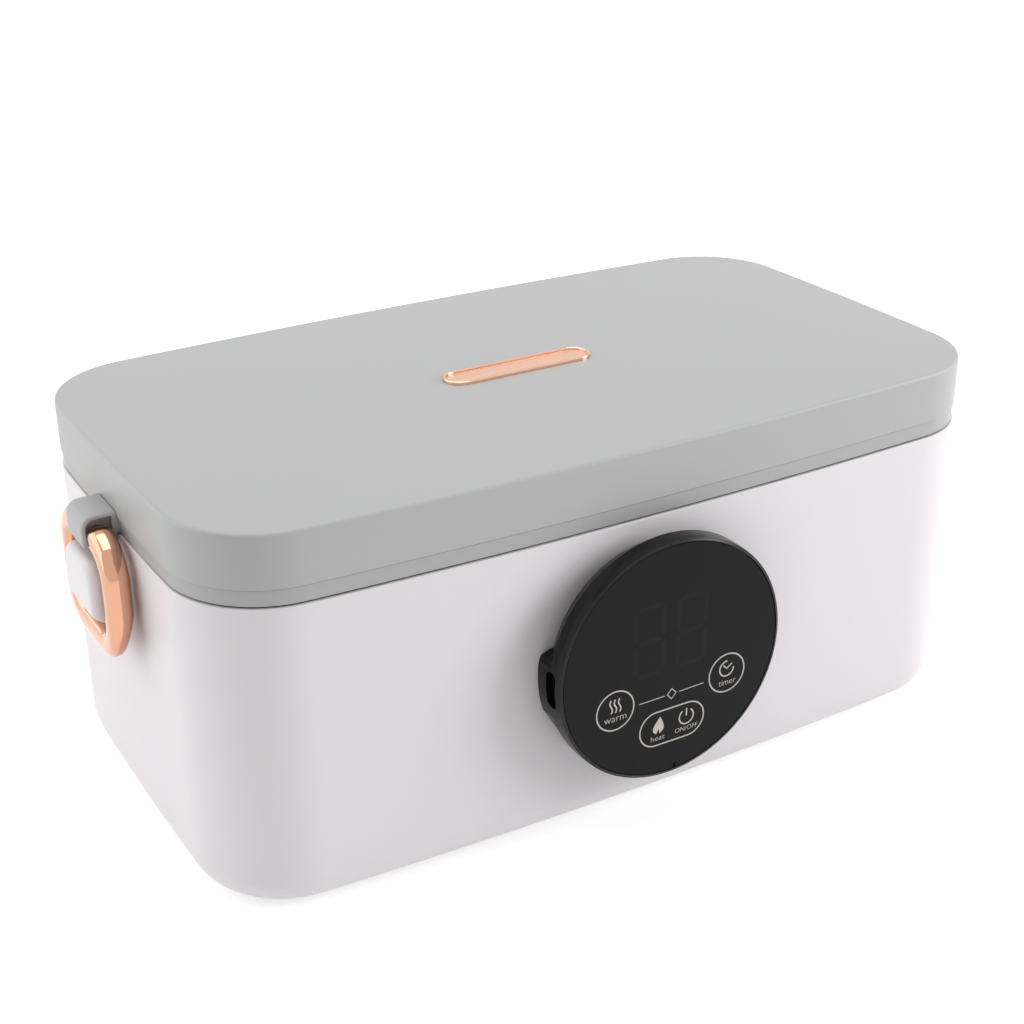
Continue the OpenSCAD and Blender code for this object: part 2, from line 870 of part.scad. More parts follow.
module lid_screws() {
    color(steel)
        on_body()
            at_corners(lid_boss_xy[0], lid_boss_xy[1])
                screw_up(panel_low + 0.9, 9);
}

// Control panel --------------------------------------------------------------------------

icon_xy = [[-19, -10.1], [18.9, -9.3], [-4.5, -20], [5.4, -19.6]];

module panel_housing() {
    shoulder_z = bezel_back - (panel_side - bezel_h);
    inner_r = panel_r - 2.6;
    base_r = panel_base_d / 2;
    port_y = port_up;
    color(panel_black)
        on_panel()
            difference() {
                union() {
                    rotate_extrude($fn = 96)
                        polygon([[wire_hole_d / 2, 0], [base_r, 0], [panel_r, shoulder_z],
                            [panel_r, bezel_back], [inner_r, bezel_back], [inner_r, shoulder_z],
                            [base_r - 2.6, 2], [wire_hole_d / 2, 2]]);
                    // Port boss on the left, running out into the lower side
                    difference() {
                        linear_extrude(bezel_back - 0.8)
                            intersection() {
                                circle(r = panel_r - 0.05, $fn = 96);
                                polygon([[-24, port_y + 8.2], [-30.6, port_y + 8.2],
                                    [-33.2, port_y + 7.2], [-panel_r, port_y + 5],
                                    [-panel_r, port_y - 6.5], [-25.4, -22.4], [-16, -22.4]]);
                            }
                        translate([0, 0, 2])
                            cylinder(r = board_r + slip, h = panel_depth, $fn = 96);
                    }
                    for (a = [30, 150, 270])
                        rotate([0, 0, a])
                            translate([boss_ring_r, 0, 0])
                                rod(5.5, eps, boss_h);
                }
                for (a = [30, 150, 270])
                    rotate([0, 0, a])
                        translate([boss_ring_r, 0, 0])
                            rod(pilot_d, -1, boss_h + 1);
                translate([-panel_r - 2, port_y, port_depth])
                    rotate([90, 0, 90])
                        linear_extrude(12)
                            round_rect(port_h, port_w, 1.6);
            }
}

module panel_bezel() {
    lens_seat_r = panel_r - 3.4;
    color(panel_black)
        on_panel()
            difference() {
                rotate_extrude($fn = 96)
                    polygon([[lens_seat_r, bezel_back], [panel_r, bezel_back],
                        [panel_r, panel_depth - 0.5], [panel_r - 0.45, panel_depth],
                        [panel_r - bezel_w, panel_depth], [panel_r - bezel_w, lens_back],
                        [lens_seat_r, lens_back]]);
                // Pry notch at the bottom of the bezel
                translate([-1, -panel_r - 1, panel_depth - 1])
                    cube([2, 1.6, 2]);
            }
}

module panel_lens() {
    color(lens_black)
        on_panel()
            rod(panel_d - 2 * bezel_w - 0.5, lens_back, lens_back + lens_t);
}

module panel_board() {
    color(board_green)
        on_panel()
            translate([0, 0, boss_h])
                linear_extrude(board_t)
                    difference() {
                        circle(r = board_r, $fn = 96);
                        for (a = [30, 150, 270])
                            rotate(a)
                                translate([boss_ring_r, 0])
                                    circle(d = pilot_d, $fn = smooth);
                        translate([-panel_r, port_up - port_h / 2 - 0.3])
                            square([panel_r - port_back, port_h + 0.6]);
                    }
}

module display_module() {
    color([0.88, 0.88, 0.86])
        on_panel()
            translate([-12.8, -8.4, boss_h + board_t])
                cube([23.6, 33.8, lens_back - boss_h - board_t - 0.1]);
}

module touch_springs() {
    color(steel)
        on_panel()
            for (p = icon_xy)
                translate([p[0], p[1], 0])
                    difference() {
                        rod(5, boss_h + board_t, lens_back - 0.05);
                        rod(3.8, boss_h + board_t - 1, lens_back + 1);
                    }
}

module panel_screws() {
    color(steel)
        on_panel()
            for (a = [30, 150, 270])
                rotate([0, 0, a])
                    translate([boss_ring_r, 0, 0])
                        screw_up(-seat_t, seat_t + 4);
}

module port_socket() {
    shell = [7.8, 8.9, 3.2];
    color(steel)
        on_panel()
            translate([-port_back - shell[0], port_up, port_depth])
                rotate([90, 0, 90]) {
                    difference() {
                        linear_extrude(shell[0]) round_rect(shell[1], shell[2], 1.5);
                        translate([0, 0, -1])
                            linear_extrude(shell[0]) round_rect(shell[1] - 0.7, shell[2] - 0.7, 1.15);
                    }
                    translate([0, 0, shell[0] / 2 + 0.6])
                        cube([6.6, 0.7, shell[0] - 1.2], center = true);
                }
}

// Tray -----------------------------------------------------------------------------------

flange_inset = tray_inset - 3.2;
z_flange = liner_flange_z + 1;
flange_top = z_flange + tray_sheet;
cover_inset = skirt_inset + skirt_t + 0.5;
channel_z = flange_top + 1.4;
plug_inset = tray_inset + tray_sheet + 0.6;
cover_top = channel_z + 2;
vent_xy = [0, 18];

module food_tray() {
    inner = tray_inset + tray_sheet;
    color(steel)
        on_body()
            dish(concat(
                bend(tray_inset + tray_edge_r, z_tray + tray_edge_r, tray_edge_r, -90, 0, 4),
                [[tray_inset, z_flange], [flange_inset, z_flange], [flange_inset, flange_top],
                    [inner, flange_top]],
                bend(tray_inset + tray_edge_r, z_tray + tray_edge_r, tray_edge_r - tray_sheet,
                    0, -90, 4)));
}

module tray_lid() {
    color([0.88, 0.92, 0.94, 0.9])
        on_body()
            difference() {
                dish([[plug_inset + 1.2, cover_top - 1.2], [plug_inset + 1.2, flange_top - 3.6],
                    [plug_inset, flange_top - 3.6], [plug_inset, channel_z],
                    [flange_inset - 0.4, channel_z], [flange_inset - 0.4, z_flange - 0.6],
                    [cover_inset, z_flange - 0.6], [cover_inset, cover_top - 0.8],
                    [cover_inset + 0.8, cover_top]]);
                translate([vent_xy[0], vent_xy[1], 0])
                    rod(vent_d, cover_top - 3, cover_top + 1);
            }
}

module tray_gasket() {
    color([0.93, 0.94, 0.95])
        on_body()
            difference() {
                slab(flange_inset + 0.5, flange_top, channel_z);
                slab(tray_inset + tray_sheet - 0.3, flange_top - 1, channel_z + 1);
            }
}

module vent_plug() {
    color([0.95, 0.62, 0.50])
        on_body()
            translate([vent_xy[0], vent_xy[1], 0])
                union() {
                    rod(vent_d - 0.7, cover_top - 2.4, cover_top + eps);
                    rod(vent_d + 5, cover_top, cover_top + 0.9);
                }
}

outer_body();
inner_liner();
liner_screws();
heating_plate();
heater_pad();
insulation_pad();
clamp_plate();
clamp_screws();
temperature_sensor();
thermal_fuse();
power_board();
board_screws();
heater_leads();
panel_lead();
base_cover();
base_screws();
feet();
catch_lug(-1);  // catch_lug_left
catch_lug(1);  // catch_lug_right
lug_screws();
panel_housing();
panel_bezel();
panel_lens();
panel_board();
display_module();
touch_springs();
panel_screws();
port_socket();
lid_cap();
lid_base();
lid_insulation();
lid_gasket();
lid_plate();
lid_screws();
clasp_ring(-1);  // clasp_ring_left
clasp_ring(1);  // clasp_ring_right
food_tray();
tray_lid();
tray_gasket();
vent_plug();
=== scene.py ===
"""Looks of an electric lunch box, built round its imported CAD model.

Every shell follows one outline: four large bowed arcs joined by four tangent corner arcs.
An inset only shortens the radii, so walls, gaps and fillets stay parallel all the way round.
Sizes are in millimetres inside the shape functions and in metres in the properties.
"""

import math

import bpy
import numpy as np
from bpy.props import FloatProperty, FloatVectorProperty, PointerProperty
from bpy.types import Operator, Panel, PropertyGroup
from mathutils import Matrix, Vector


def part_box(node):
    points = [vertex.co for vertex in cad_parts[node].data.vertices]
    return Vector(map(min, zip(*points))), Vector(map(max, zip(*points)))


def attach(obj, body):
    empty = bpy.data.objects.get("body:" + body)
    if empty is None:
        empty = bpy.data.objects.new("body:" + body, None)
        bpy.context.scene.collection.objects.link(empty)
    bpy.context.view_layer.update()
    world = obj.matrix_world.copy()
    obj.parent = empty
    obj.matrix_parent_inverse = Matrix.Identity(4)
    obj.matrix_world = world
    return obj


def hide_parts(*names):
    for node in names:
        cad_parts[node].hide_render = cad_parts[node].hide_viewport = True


bl_info = {
    "name": "Electric lunch box",
    "version": (1, 0, 0),
    "blender": (4, 5, 0),
    "location": "View3D > Sidebar > Lunch box",
    "description": "Builds the shells, clasps, touch panel and studio of an electric lunch box",
    "category": "Object",
}

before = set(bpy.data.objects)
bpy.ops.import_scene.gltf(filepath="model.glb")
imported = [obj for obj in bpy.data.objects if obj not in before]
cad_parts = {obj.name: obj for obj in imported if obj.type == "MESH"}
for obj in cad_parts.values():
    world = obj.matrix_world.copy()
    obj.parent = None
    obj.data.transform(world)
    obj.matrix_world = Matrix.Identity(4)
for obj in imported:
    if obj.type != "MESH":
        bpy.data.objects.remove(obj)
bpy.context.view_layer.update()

MM = 0.001


def node_box(node):
    """Lowest and highest corner of a CAD node, in millimetres."""
    low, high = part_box(node)
    return np.array(low) / MM, np.array(high) / MM


CAP_LOW, CAP_HIGH = node_box("lid_cap")
HALF = (CAP_HIGH - CAP_LOW)[:2] / 2
CENTRE = (CAP_HIGH + CAP_LOW)[:2] / 2
Z_TOP = CAP_HIGH[2]
Z_LOW = node_box("outer_body")[0][2]
Z_RIM = node_box("lid_gasket")[0][2]
Z_SEAM = node_box("lid_gasket")[1][2]
LENS_LOW, LENS_HIGH = node_box("panel_lens")
Z_PANEL = (LENS_HIGH[2] + LENS_LOW[2]) / 2
LENS_Y = LENS_LOW[1]
SEAT_Y = node_box("panel_housing")[1][1]

# Hinge of the rings: its distance from the body's side, its height, its journal's radius
HINGE_OUT = 4.9
Z_HINGE = Z_SEAM - 0.2
JOURNAL_R = 2.5


# --------------------------------------------------------------------------------------
# Properties


class LunchBoxSizes(PropertyGroup):
    """Sizes of the shells' rounding and of the clasps."""

    corner: FloatProperty(name="Corner radius", description="Radius of the upright corners",
                          default=0.0265, unit="LENGTH")
    bow_long: FloatProperty(name="Long bow", description="How far a long side bows outward",
                            default=0.0042, unit="LENGTH")
    bow_short: FloatProperty(name="Short bow", description="How far a short side bows outward",
                             default=0.0015, unit="LENGTH")
    lower_edge: FloatProperty(name="Lower edge", description="Radius of the body's lower edge",
                              default=0.0095, unit="LENGTH")
    lid_edge: FloatProperty(name="Lid edge", description="Radius of the lid's upper edge",
                            default=0.0011, unit="LENGTH")
    rim_height: FloatProperty(name="Rim height", description="Height of the lid's lower rim",
                              default=0.0041, unit="LENGTH")
    ring_bar: FloatProperty(name="Ring bar", description="Width of a clasp ring's bar",
                            default=0.0068, unit="LENGTH")
    mark_line: FloatProperty(name="Mark line", description="Line width of the panel's marks",
                             default=0.00034, unit="LENGTH")


class LunchBoxColours(PropertyGroup):
    """Colours, as linear values."""

    shell: FloatVectorProperty(name="Shell", description="White of the body", size=3,
                               subtype="COLOR", default=(0.80, 0.765, 0.79))
    lid: FloatVectorProperty(name="Lid", description="Grey of the lid", size=3,
                             subtype="COLOR", default=(0.455, 0.462, 0.458))
    rim: FloatVectorProperty(name="Rim", description="Grey of the lid's lower rim", size=3,
                             subtype="COLOR", default=(0.43, 0.435, 0.43))
    gold: FloatVectorProperty(name="Rose gold", description="Plating of the lid's plate", size=3,
                              subtype="COLOR", default=(0.82, 0.50, 0.37))
    # Painted shade: the rings' rose gold is set darker than the plate's, standing in for the darker
    # reflections on the polished rings.
    ring_gold_shaded: FloatVectorProperty(name="Ring gold", description="Plating of the clasp rings",
                                   size=3, subtype="COLOR", default=(0.66, 0.35, 0.235))
    black: FloatVectorProperty(name="Panel black", description="Housing of the panel", size=3,
                               subtype="COLOR", default=(0.005, 0.005, 0.0055))
    marks: FloatVectorProperty(name="Marks", description="Printed marks of the panel", size=3,
                               subtype="COLOR", default=(0.55, 0.51, 0.46))


# --------------------------------------------------------------------------------------
# Shapes


def z_step():
    """Height of the joint between the lid's lower rim and its cap."""
    return Z_SEAM + bpy.context.scene.lunch_box_sizes.rim_height / MM


def spokes():
    """Arcs of the outline as rows of centre x, centre y, radius and angle in radians.

    A side of half length a that bows by s has the radius (a*a + s*s) / (2*s). The corner's
    centre lies where the long and the short side's circles, both less the corner radius, cross.
    """
    sizes = bpy.context.scene.lunch_box_sizes
    a, b = HALF
    r, sl, ss = sizes.corner / MM, sizes.bow_long / MM, sizes.bow_short / MM
    long_r = (a * a + sl * sl) / (2 * sl)
    short_r = (b * b + ss * ss) / (2 * ss)
    long_c = np.array([0, b - long_r])
    short_c = np.array([a - short_r, 0])
    across = short_c - long_c
    reach = np.linalg.norm(across)
    along = ((long_r - r) ** 2 - (short_r - r) ** 2 + reach**2) / (2 * reach)
    aside = math.sqrt((long_r - r) ** 2 - along**2)
    e = across / reach
    c = long_c + along * e + aside * np.array([e[1], -e[0]])
    t_short = math.atan2(c[1], c[0] - short_c[0])
    t_long = math.atan2(c[1] - long_c[1], c[0])

    def arc(centre, radius, start, end, steps, last=False):
        w = np.linspace(start, end, steps + 1)[: steps + last]
        return np.column_stack([np.full(w.shape, centre[0]), np.full(w.shape, centre[1]),
                                np.full(w.shape, radius), w])

    quarter = np.vstack([arc(short_c, short_r, 0, t_short, 6),
                         arc(c, r, t_short, t_long, 22),
                         arc(long_c, long_r, t_long, math.pi / 2, 12, True)])
    mirror = quarter[::-1] * [-1, 1, 1, -1] + [0, 0, 0, math.pi]
    half = np.vstack([quarter[:-1], mirror[:-1]])
    return np.vstack([half, half * [-1, -1, 1, 1] + [0, 0, 0, math.pi]])


def shell_grid(profile):
    """Grid of points (profile point, spoke): each [inset, height] carried round the outline."""
    s = spokes()
    t = np.asarray(profile, float)
    r = s[None, :, 2] - t[:, 0, None]
    x = CENTRE[0] + s[None, :, 0] + r * np.cos(s[None, :, 3])
    y = CENTRE[1] + s[None, :, 1] + r * np.sin(s[None, :, 3])
    z = np.broadcast_to(t[:, 1, None], x.shape)
    return np.stack([x, y, z], axis=-1)


def bend(t, z, r, start, end, steps=8):
    """Arc of a profile about [inset t, height z], from one angle to the other in degrees."""
    w = np.radians(np.linspace(start, end, steps + 1))
    return np.column_stack([t - r * np.cos(w), z + r * np.sin(w)]).tolist()


def revolve_grid(profile, steps=160):
    """Grid of points (profile point, turn): each [radius, height] turned about the Z axis."""
    p = np.asarray(profile, float)
    w = np.linspace(0, 2 * np.pi, steps, endpoint=False)
    x = p[:, 0, None] * np.cos(w)
    y = p[:, 0, None] * np.sin(w)
    return np.stack([x, y, np.broadcast_to(p[:, 1, None], x.shape)], axis=-1)


def skin(grid, closed=False):
    """Vertices and faces over a grid (ring, point round the ring).

    closed joins the last ring to the first; otherwise one flat face shuts each end.
    """
    k, n = grid.shape[:2]
    rows = np.arange(k if closed else k - 1)
    i, j = np.meshgrid(rows, np.arange(n), indexing="ij")
    up, on = (i + 1) % k, (j + 1) % n
    quads = np.stack([i * n + j, i * n + on, up * n + on, up * n + j], axis=-1).reshape(-1, 4)
    faces = quads.tolist()
    if not closed:
        faces.append(list(range(n - 1, -1, -1)))
        faces.append(list(range((k - 1) * n, k * n)))
    return grid.reshape(-1, 3), faces


def volume(verts, faces):
    """Signed volume of a closed skin: the sum of its faces' fans against the origin."""
    tris = np.array([(f[0], f[i], f[i + 1]) for f in faces for i in range(1, len(f) - 1)])
    a, b, c = (verts[tris[:, k]] for k in range(3))
    return float(np.einsum("ij,ij->i", a, np.cross(b, c)).sum() / 6)


def outward(part):
    """The same part, turned inside out if its faces point inward."""
    verts, faces = part
    if volume(verts - verts.mean(0), faces) < 0:
        faces = [f[::-1] for f in faces]
    return verts, faces


def place(part, matrix):
    """A part moved by a 4 by 4 matrix in millimetres, with its faces still pointing outward."""
    verts, faces = part
    m = np.asarray(matrix, float)
    return outward((verts @ m[:3, :3].T + m[:3, 3], faces))


def on_short_side(part, side):
    """A part built outward from X = 0, moved to the left (-1) or right (1) end of the body."""
    verts, faces = part
    return outward((verts * [side, 1, 1] + [CENTRE[0] + side * HALF[0], CENTRE[1], 0], faces))


def rod(x, y, z0, z1, r):
    """Upright cylinder."""
    return skin(revolve_grid([[r, z0], [r, z1]], 32) + [x, y, 0])


def make_object(name, parts, material, body, replaced=(), sharp=32.0):
    """One object in metres from parts in millimetres, shaded smooth up to an angle."""
    verts, faces, first = [], [], 0
    for v, f in parts:
        verts.append(np.asarray(v, float))
        faces.extend([[k + first for k in face] for face in f])
        first += len(v)
    mesh = bpy.data.meshes.new(name)
    mesh.from_pydata((np.vstack(verts) * MM).tolist(), [], faces)
    mesh.polygons.foreach_set("use_smooth", np.ones(len(mesh.polygons), bool))
    mesh.set_sharp_from_angle(angle=math.radians(sharp))
    mesh.materials.append(material)
    mesh.update()
    obj = bpy.data.objects.new(name, mesh)
    bpy.context.scene.collection.objects.link(obj)
    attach(obj, body)
    if replaced:
        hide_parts(*replaced)
    return obj


# --------------------------------------------------------------------------------------
# Finishes


def new_finish(name, colour, roughness, metallic=0.0):
    """A material of one colour and roughness, its node tree and its Principled shader."""
    material = bpy.data.materials.new(name)
    material.use_nodes = True
    tree = material.node_tree
    shader = tree.nodes["Principled BSDF"]
    shader.inputs["Base Color"].default_value = (*colour, 1)
    shader.inputs["Roughness"].default_value = roughness
    shader.inputs["Metallic"].default_value = metallic
    return material, tree, shader


def relief(tree, shader, pattern, height, stretch=None):
    """Bump of a height in metres from a pattern on Object coordinates, stretched if asked."""
    nodes, links = tree.nodes, tree.links
    vector = nodes.new("ShaderNodeTexCoord").outputs["Object"]
    if stretch:
        mapping = nodes.new("ShaderNodeMapping")
        mapping.inputs["Scale"].default_value = stretch
        links.new(vector, mapping.inputs["Vector"])
        vector = mapping.outputs["Vector"]
    bump = nodes.new("ShaderNodeBump")
    bump.inputs["Strength"].default_value = 1.0
    bump.inputs["Distance"].default_value = height
    links.new(vector, pattern.inputs["Vector"])
    links.new(pattern.outputs["Fac"], bump.inputs["Height"])
    links.new(bump.outputs["Normal"], shader.inputs["Normal"])


def noise(tree, scale):
    """A noise pattern."""
    pattern = tree.nodes.new("ShaderNodeTexNoise")
    pattern.inputs["Scale"].default_value = scale
    pattern.inputs["Detail"].default_value = 2.0
    return pattern


def moulded(name, colour, roughness, grain_height=0.000004, gloss=0.5):
    """Moulded plastic with a faint grain."""
    material, tree, shader = new_finish(name, colour, roughness)
    shader.inputs["Specular IOR Level"].default_value = gloss
    if grain_height:
        relief(tree, shader, noise(tree, 900), grain_height)
    return material


def plating(name, colour, roughness):
    """Polished plating."""
    return new_finish(name, colour, roughness, 1.0)[0]


def ribbed_plating(name, colour):
    """Plating with fine upright ribs: a wave across Object X."""
    material, tree, shader = new_finish(name, colour, 0.28, 1.0)
    wave = tree.nodes.new("ShaderNodeTexWave")
    wave.bands_direction = "X"
    wave.inputs["Scale"].default_value = 260
    wave.inputs["Distortion"].default_value = 0.0
    relief(tree, shader, wave, 0.00008)
    return material


def brushed(name, colour, roughness):
    """Brushed metal: a noise drawn out along X roughens the surface."""
    material, tree, shader = new_finish(name, colour, roughness, 1.0)
    relief(tree, shader, noise(tree, 1.0), 0.000012, (14, 900, 900))
    return material


FINISHES = {}


def finish(name):
    """The shared finish of that name, made once."""
    if name not in FINISHES:
        c = bpy.context.scene.lunch_box_colours
        makers = {
            "shell": lambda: moulded("Body white", c.shell, 0.38),
            "lid": lambda: moulded("Lid grey", c.lid, 0.42),
            "rim": lambda: moulded("Rim grey", c.rim, 0.42),
            "liner": lambda: moulded("Liner grey", (0.60, 0.61, 0.63), 0.5),
            "gold": lambda: plating("Rose gold", c.gold, 0.09),
            # Painted shade: the rings' plating takes the darkened ring gold, for their darker
            # reflections.
            "ring": lambda: plating("Ring rose gold painted dark", c.ring_gold_shaded, 0.07),
            "ribs": lambda: ribbed_plating("Ribbed rose gold", c.gold),
            "black": lambda: moulded("Panel black", c.black, 0.30, 0.0, gloss=0.22),
            "lens": lambda: moulded("Panel lens", (0.006, 0.006, 0.007), 0.2, 0.0, gloss=0.12),
            "trim": lambda: moulded("Panel trim", (0.006, 0.006, 0.0065), 0.22, 0.0, gloss=0.3),
            # Painted shadow: flat black that stands for the shade inside the panel's notch.
            "gap": lambda: moulded("Notch painted shadow", (0.0, 0.0, 0.0), 0.9, 0.0, gloss=0.0),
            "dead": lambda: moulded("Unlit digits", (0.0095, 0.0095, 0.010), 0.2, 0.0, gloss=0.12),
            "marks": lambda: moulded("Panel marks", c.marks, 0.5, 0.0),
            "steel": lambda: brushed("Tray steel", (0.44, 0.44, 0.45), 0.24),
            "seal": lambda: moulded("Seal grey", (0.025, 0.026, 0.028), 0.6, 0.0),
            "pale_seal": lambda: moulded("Seal white", (0.78, 0.79, 0.80), 0.55, 0.0),
            "milky": lambda: moulded("Milky plastic", (0.80, 0.83, 0.85), 0.35, 0.0),
            "coral": lambda: moulded("Coral silicone", (0.80, 0.30, 0.20), 0.5, 0.0),
            "foot": lambda: moulded("Foot rubber", (0.035, 0.035, 0.038), 0.7),
            "cover": lambda: moulded("Cover grey", (0.55, 0.55, 0.56), 0.5, 0.00001),
            "zinc": lambda: plating("Zinc", (0.62, 0.62, 0.64), 0.3),
            "rolled": lambda: brushed("Rolled aluminium", (0.66, 0.67, 0.69), 0.35),
            "sheet": lambda: brushed("Sheet steel", (0.60, 0.60, 0.62), 0.35),
            "heater": lambda: moulded("Heater rubber", (0.55, 0.12, 0.05), 0.6, 0.00003),
            "felt": lambda: moulded("Pale felt", (0.78, 0.74, 0.66), 0.95, 0.0002),
            "ceramic": lambda: moulded("Cream ceramic", (0.85, 0.82, 0.74), 0.25),
            "board": lambda: moulded("Solder mask", (0.03, 0.16, 0.07), 0.3, 0.00001),
            "red_lead": lambda: moulded("Red insulation", (0.50, 0.03, 0.02), 0.45),
            "black_lead": lambda: moulded("Black insulation", (0.02, 0.02, 0.02), 0.45),
            "reflector": lambda: moulded("White reflector", (0.75, 0.75, 0.72), 0.5),
            "foam": lambda: moulded("White foam", (0.88, 0.88, 0.85), 0.9, 0.0003),
        }
        FINISHES[name] = makers[name]()
    return FINISHES[name]


def refinish(finish_name, *nodes):
    """Puts a finish on CAD nodes whose shape stays."""
    for node in nodes:
        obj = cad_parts[node]
        for k in range(len(obj.material_slots)):
            obj.material_slots[k].material = finish(finish_name)


# --------------------------------------------------------------------------------------
# Shells


def stadium_ring(length, width, z, angles):
    """Points of a stadium about the box's centre, one on the ray at each angle.

    The ray leaves through a straight side where that side is long enough, else through the
    end's arc, at x = m + sqrt(r*r - y*y) seen along the ray.
    """
    r, m = width / 2, (length - width) / 2
    c, s = np.cos(angles), np.sin(angles)
    flat = np.abs(c) * r <= np.abs(s) * m
    with np.errstate(divide="ignore", invalid="ignore"):
        d_flat = np.where(np.abs(s) > 1e-9, r / np.abs(s), 0)
    d_arc = m * np.abs(c) + np.sqrt(np.maximum(r * r - (m * s) ** 2, 0))
    d = np.where(flat, d_flat, d_arc)
    return np.column_stack([CENTRE[0] + d * c, CENTRE[1] + d * s, np.full(c.shape, z)])


class LUNCHBOX_OT_body(Operator):
    """Builds the white body shell with its rounded lower edge."""

    bl_idname = "lunch_box.body"
    bl_label = "Body"

    def execute(self, context):
        wall, top_r = 2.4, 0.3
        opening, ledge_in, ledge, ledge_t = 11, 19, Z_LOW + 2.4, 2.0
        r = context.scene.lunch_box_sizes.lower_edge / MM
        inner_r = r - wall
        meet = -math.degrees(math.asin((Z_LOW + r - ledge - ledge_t) / inner_r))
        profile = ([[opening, Z_LOW]] + bend(r, Z_LOW + r, r, -90, 0, 12)
                   + bend(top_r, Z_RIM - top_r, top_r, 0, 90, 4)
                   + bend(wall - top_r, Z_RIM - top_r, -top_r, 0, -90, 3)[::-1]
                   + bend(r, Z_LOW + r, inner_r, 0, meet, 8)
                   + [[ledge_in, ledge + ledge_t], [ledge_in, ledge], [opening, ledge]])
        parts = [skin(shell_grid(profile), closed=True)]
        seat_r = 29.9
        seat = skin(revolve_grid([[seat_r, 0], [seat_r, wall - 0.1]], 96))
        parts.append(place(seat, Matrix.Translation((CENTRE[0], SEAT_Y, Z_PANEL))
                           @ Matrix.Rotation(math.radians(-90), 4, "X")))
        post_top = node_box("inner_liner")[0][2]
        parts += [rod(x, y, ledge + 0.01, post_top, 4) for x, y in self.posts()]
        make_object("body_shell", parts, finish("shell"), "base", ["outer_body"])
        return {"FINISHED"}

    @staticmethod
    def posts():
        """Centres of the four screw posts, from the screws that go into them."""
        low, high = node_box("base_screws")
        head_r = 2.5
        x, y = (high - low)[:2] / 2 - head_r
        return [(CENTRE[0] + sx * x, CENTRE[1] + sy * y) for sx in (-1, 1) for sy in (-1, 1)]


